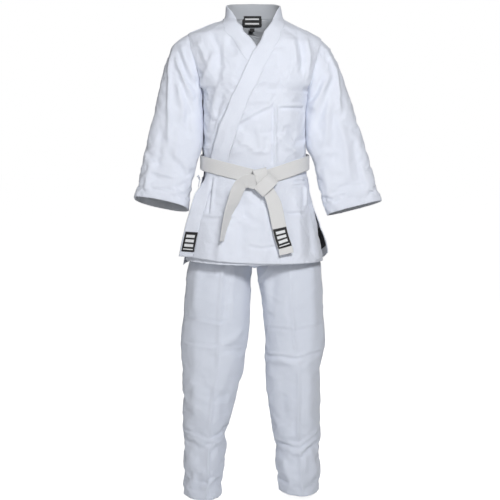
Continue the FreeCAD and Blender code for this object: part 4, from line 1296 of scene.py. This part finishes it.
def waist():
    """The gathered waistband, the elastic inside it and its lining."""
    made = {}
    angles = np.linspace(0, 360, 240, endpoint=False)
    for name, out, thick, low, high, folds in (("waistband", 1.6, 1.4, -452, -412, 1.0),
                                               ("waist_elastic", -1.6, 1.6, -447, -417, 0.3),
                                               ("waistband_lining", -4.2, 1.2, -452, -412, 0.8)):
        heights = np.linspace(high, low, 15)
        P = seat_grid(np.full(15, -449.0), angles, out)
        P[..., 2] = heights[:, None]
        smooth = P
        N = outward(P, True)
        wave = np.sin(np.radians(angles) * 46 + 0.7 * np.sin(np.radians(angles) * 7))
        pinch = 0.75 + 0.25 * np.cos((heights - low) / (high - low) * 4 * math.pi)
        P = P + N * (1.1 * folds * wave[None, :] * pinch[:, None])[..., None]
        N = outward(P, True)
        v, u = lengths(P, 0), lengths(np.concatenate([P, P[:, :1]], 1), 1)[:, :-1]
        seam = seam_from(np.abs(v - 3), np.abs(v[-1:] - 3 - v), np.abs(v - 13),
                         np.abs(v - 26), along=u)
        ob = shell(f"trouser_{name}", P, thick, loop=True, N=N, seam=seam,
                   uv=np.stack([u, v], -1), turned=True)
        ob["cut"] = cut(smooth, True)
        made[name] = ob
    return made


def gusset():
    """The sling of cloth between the legs, under the crotch."""
    turn = np.linspace(-math.pi / 2, math.pi / 2, 60)
    across = np.linspace(-1, 1, 13)
    y = 86 * np.sin(turn)
    z = -690 - 28 * np.cos(turn) ** 0.8
    spread = 9 + 14 * np.abs(np.sin(turn)) ** 2
    P = np.stack([1 + spread[:, None] * across[None, :],
                  np.broadcast_to(y[:, None], (60, 13)),
                  z[:, None] + 7 * (across ** 2)[None, :] * np.cos(turn)[:, None]], -1)
    N = normals(P)
    if np.sum(N[..., 2]) > 0:
        N = -N
    u, v = lengths(P, 1), lengths(P, 0)
    across_d = np.minimum(u, u[:, -1:] - u)
    ob = shell("trouser_gusset", P, CLOTH, N=N, seam=seam_from(np.abs(across_d - 3), along=v),
               uv=np.stack([u, v], -1))
    ob["cut"] = cut(P)
    return ob


# ---- Putting it together --------------------------------------------------------------------


def joint(name):
    return next(j for j in frame["record"]["behaviour"]["joints"] if j["name"] == name)


made = jacket()
for name, far in (("left", "left"), ("right", "right")):
    finish_piece(made[name][0], COTTON, [f"{name}_front"], "jacket")
    finish_piece(made[name + "_band"][0], BAND_COTTON, [f"{name}_collar_band"],
                 "jacket")
back_ob, back_grid = back()
skirt_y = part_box("left_back_skirt")[1][1]
vent = joint("back_skirt_lift")["pos_m"][2]
finish_piece(back_ob, COTTON,
             ["left_back", "right_back", "left_back_skirt", "right_back_skirt"],
             blend=("jacket", "back_skirt", (0, skirt_y, vent + 0.012), (0, skirt_y, vent - 0.06)))
collar_ob, _ = back_collar()
finish_piece(collar_ob, BAND_COTTON, ["back_collar"], "jacket")
# painted shade: the inner faces of the back and its collar get the darker inside cotton
paint_inner_shade(back_ob, INSIDE_PAINTED_SHADE)
paint_inner_shade(collar_ob, INSIDE_PAINTED_SHADE)

arms = sleeves()
for name, side in (("left", 1), ("right", -1)):
    pivot = np.array(joint(f"{name}_sleeve_lift")["pos_m"])
    way = np.array([side * 0.93, 0, -0.37])
    start = np.array([side * 0.160, 0, -0.142])
    cloth, facing = arms[name]
    finish_piece(cloth, COTTON, [f"{name}_sleeve"],
                 blend=("jacket", f"{name}_sleeve_body", tuple(start), tuple(start + way * 0.1)))
    finish_piece(facing, COTTON, [f"{name}_cuff_hem"], f"{name}_sleeve_body")
    # painted shade: the inner faces of sleeve, cuff facing, front and band get the darker inside
    # cotton
    for piece in (cloth, facing, made[name][0], made[name + "_band"][0]):
        paint_inner_shade(piece, INSIDE_PAINTED_SHADE)

inner = belt_wrap("belt_inner_strap", 0.0, 1.6)
outer = belt_wrap("belt_outer_strap", BELT + 0.4)
finish_piece(inner, BELTING, ["belt_inner_wrap"], "jacket")
finish_piece(outer, BELTING, ["belt_outer_wrap"], "jacket")
knot, tail_line = knot_and_tails()
finish_piece(knot["core"], BELTING, ["knot_core"], "jacket")
finish_piece(knot["wrap"], BELTING, ["knot_wrap"], "jacket")
for name in ("left", "right"):
    pivot = np.array(joint(f"{name}_tail_swing")["pos_m"])
    finish_piece(knot[name], BELTING, [f"{name}_tail"],
                 blend=("jacket", f"{name}_tail_body", tuple(pivot + (0, 0, 0.008)),
                        tuple(pivot - (0, 0, 0.03))))

limbs = legs()
for name, side in (("left", 1), ("right", -1)):
    pivot = np.array(joint(f"{name}_leg_swing")["pos_m"])
    cloth, hem = limbs[name]
    finish_piece(cloth, TROUSER, [f"{name}_leg"],
                 blend=("trousers", f"{name}_leg_body", tuple(pivot + (0, 0, 0.004)),
                        tuple(pivot - (0, 0, 0.08))))
    finish_piece(hem, TROUSER, [f"{name}_leg_hem"], f"{name}_leg_body")
panels = seat()
for name, ob in panels.items():
    finish_piece(ob, TROUSER, [name], "trousers")
bands = waist()
finish_piece(bands["waistband"], TROUSER, ["waistband"], "trousers")
finish_piece(bands["waist_elastic"], ELASTIC, ["waist_elastic"], "trousers")
finish_piece(bands["waistband_lining"], TROUSER, ["waistband_lining"],
             "trousers")
sling = gusset()
finish_piece(sling, TROUSER, ["crotch_gusset"], "trousers")


# labels
WIDE, TALL = 38.0, 56.0
MOTIF = label_cloth("woven_label_motif", (WIDE * MM, [(0.012, 0.004, 0.013), (0.025, 0.004, 0.013),
                                                      (0.038, 0.004, 0.013), (0.049, 0.0014, 0.015)]))
NECK = label_cloth("woven_label_neck", (56 * MM, [(0.009, 0.0022, 0.020), (0.022, 0.0022, 0.020)]))
PLAIN = label_cloth("woven_label_plain", None)


def tail_bend(u, v):
    """On the front of the left tail, a little above its end."""
    gone = np.concatenate([[0], np.cumsum(np.linalg.norm(np.diff(tail_line, axis=0), axis=1))])
    at = gone[-1] - 75 + v
    P = through([(g, *p) for g, p in zip(gone, tail_line)], at)
    T = through([(g, *p) for g, p in zip(gone, tail_line)], at + 1) - P
    across = np.array((1.0, 0.12, 0.25)) - T * (T @ np.array((1.0, 0.12, 0.25)))[..., None]
    across /= np.linalg.norm(across, axis=-1, keepdims=True)
    up = np.cross(across, T)
    up /= np.linalg.norm(up, axis=-1, keepdims=True)
    up = np.where(up[..., 1:2] > 0, -up, up)
    return P + across * (u - WIDE / 2)[..., None] + up * (BELT / 2 + 0.15)


parts = patch((0, 0, 0), (1, 0, 0), (0, 0, -1), WIDE, TALL, tail_bend)
label("belt_tail_patch", *parts, MOTIF, ["tail_patch"], body="left_tail_body",
      sewn_to="belt_left_tail")


def on_grid(G, row, col):
    """Points between a grid's own, at fractional rows and columns."""
    i = np.floor(row).astype(int).clip(0, G.shape[0] - 2)
    j = np.floor(col).astype(int).clip(0, G.shape[1] - 2)
    a, b = (row - i)[..., None], (col - j)[..., None]
    return ((G[i, j] * (1 - a) + G[i + 1, j] * a) * (1 - b)
            + (G[i, j + 1] * (1 - a) + G[i + 1, j + 1] * a) * b)


def hem_bend(u, v):
    """On the left front's lower corner, over its collar band."""
    G = made["left_band"][1]
    row = np.interp(608 + v, -G[:, 7, 2][::-1], np.arange(len(G))[::-1])
    col = (0.93 - u / WIDE * 0.86) * (G.shape[1] - 1)
    return on_grid(G, row, col) + np.array([2.5, -2.5, 0.0])


parts = patch((0, 0, 0), (1, 0, 0), (0, 0, -1), WIDE, TALL, hem_bend)
label("jacket_hem_patch", *parts, MOTIF, ["hem_patch"], body="jacket",
      sewn_to="jacket_left_collar_band")
low, high = (np.array(c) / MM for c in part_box("neck_label"))
parts = patch(((low[0] + high[0]) / 2 - 6 - 28, high[1] - 1.0, high[2] + 4), (1, 0, 0),
              (0, 0, -1), 56, 30)
label("jacket_neck_label", *parts, NECK, ["neck_label"], body="jacket",
      sewn_to="jacket_back")
low, high = (np.array(c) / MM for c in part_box("size_tab"))
parts = patch(((low[0] + high[0]) / 2 - 6 - 7, high[1] - 1.0, high[2] + 1), (1, 0, 0),
              (0, 0, -1), 14, 10)
label("jacket_size_tab", *parts, PLAIN, ["size_tab"], body="size_tab_body",
      sewn_to="jacket_neck_label")


def vent_bend(u, v):
    """Inside the back skirt, near its free edge at the wearer's left."""
    z = -600 - v
    row = np.interp(-z, -back_grid[:, 0, 2], np.arange(len(back_grid)))
    level = back_grid[int(row.mean()):int(row.mean()) + 1]
    col = np.interp(6 + u, lengths(level, 1)[0], np.arange(back_grid.shape[1]))
    P = on_grid(back_grid, row, col)
    return P + np.array([-1.5, -2.6, 0])


parts = patch((0, 0, 0), (1, 0, 0), (0, 0, -1), 30, 52, vent_bend)
label("jacket_vent_label", *parts, PLAIN, ["vent_label"], body="back_skirt",
      sewn_to="jacket_back")

for name, angle in (("left_vent_patch", 0.0), ("right_vent_patch", 180.0)):
    low, high = (np.array(c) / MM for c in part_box(name))
    tall = high[2] - low[2]

    def vent_square(u, v, angle=angle, top=high[2]):
        return torso(top - v, angle - (u - 22) * 0.38, 1.6)
    P, N, u, v, border = patch((0, 0, 0), (0, 1, 0), (0, 0, -1), 44, tall, vent_square)
    seam = seam_from(np.minimum(np.minimum(u, 44 - u), np.minimum(v, tall - v)) - 3, along=u + v)
    N = outward(P)
    ob = shell(f"jacket_{name}", P + N * 0.6, 1.2, N=N, uv=np.stack([u, v], -1), seam=seam)
    ob["cut"], ob["sewn_to"] = [44 * MM, float(tall * MM), float(44 * tall * MM * MM)], "jacket_back"
    finish_piece(ob, COTTON, [name], "jacket")

low, high = (np.array(c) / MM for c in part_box("side_tie_knot"))
mid = (low + high) / 2
tie = mid + spline([(-1, 3, -17), (0, 1, -6), (2, -1, 3), (-1, -7, 10), (-3, -3, 12), (0, 2, 5),
                    (2, -3, 0), (0, -8, -9), (-2, -10, -19)], 80)
side_tie = ribbon("jacket_side_tie", tie, np.tile((0.15, 0.9, 0.35), (80, 1)), 7, 1.2, stitches=2)
finish_piece(side_tie, BAND_COTTON, ["side_tie_knot"], "jacket")


# ---- Stage ----------------------------------------------------------------------------------

def plain(name, colour, rough=0.7):
    n = Nodes(name)
    shader = n.add("ShaderNodeBsdfPrincipled", in_Roughness=rough, in_Specular_IOR_Level=0.2)
    shader.inputs["Base Color"].default_value = (*colour, 1)
    out = n.add("ShaderNodeOutputMaterial")
    n.link(shader.outputs[0], out.inputs[0])
    return n.material


AMBIENT = 0.13
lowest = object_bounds()[0][2]
half = 30.0
ground = make_mesh("floor", np.array([(-half, -half, 0), (half, -half, 0), (half, half, 0),
                                      (-half, half, 0)]) / MM, [[0, 1, 2, 3]])
ground.location = (0, 0, lowest - 0.004)
ground.data.materials.append(plain("floor_pale", (0.95, 0.95, 0.95)))

def seen_and_lit(tree, seen, lit):
    """The strength of a light that the camera sees as one value and the cloth as another."""
    path = tree.nodes.new("ShaderNodeLightPath")
    mix = tree.nodes.new("ShaderNodeMix")
    mix.inputs[2].default_value, mix.inputs[3].default_value = lit, seen
    tree.links.new(path.outputs["Is Camera Ray"], mix.inputs[0])
    return mix.outputs[0]


world = bpy.data.worlds.new("studio")
bpy.context.scene.world = world
world.use_nodes = True
sky = world.node_tree.nodes["Background"]
sky.inputs[0].default_value = (1, 1, 1, 1)
world.node_tree.links.new(seen_and_lit(world.node_tree, 1.0, AMBIENT), sky.inputs[1])
shine = ground.data.materials[0].node_tree.nodes["Principled BSDF"]
shine.inputs["Emission Color"].default_value = (1, 1, 1, 1)
ground.data.materials[0].node_tree.links.new(
    seen_and_lit(ground.data.materials[0].node_tree, 1.0 - 0.95 * AMBIENT, 0.0),
    shine.inputs["Emission Strength"])


def soft_light(name, place, target, size, power):
    data = bpy.data.lights.new(name, "AREA")
    data.shape, data.size, data.energy = "DISK", size, power
    ob = bpy.data.objects.new(name, data)
    bpy.context.scene.collection.objects.link(ob)
    ob.location = place
    way = np.array(target) - np.array(place)
    yaw = math.atan2(way[1], way[0])
    pitch = math.atan2(way[2], math.hypot(way[0], way[1]))
    ob.rotation_euler = (math.pi / 2 + pitch, 0, yaw - math.pi / 2)
    return ob


soft_light("key", (0.55, -2.45, 0.8), (0, 0, -0.15), 0.55, 50)
soft_light("fill", (-1.6, -2.2, -0.2), (0, 0, -0.6), 1.6, 9)
soft_light("rear", (0.6, 2.6, 1.2), (0, 0, -0.6), 1.8, 22)

camera = bpy.data.objects.new("camera", bpy.data.cameras.new("camera"))
bpy.context.scene.collection.objects.link(camera)
camera.data.lens, camera.data.sensor_width = 82.3, 36.0
camera.location = (-0.012, -3.3, -0.355)
aim = np.array((-0.012, 0.0, -0.667)) - np.array(camera.location)
camera.rotation_euler = (math.pi / 2 + math.atan2(aim[2], math.hypot(aim[0], aim[1])), 0, 0)
bpy.context.scene.camera = camera
bpy.context.scene.view_settings.view_transform = "Standard"
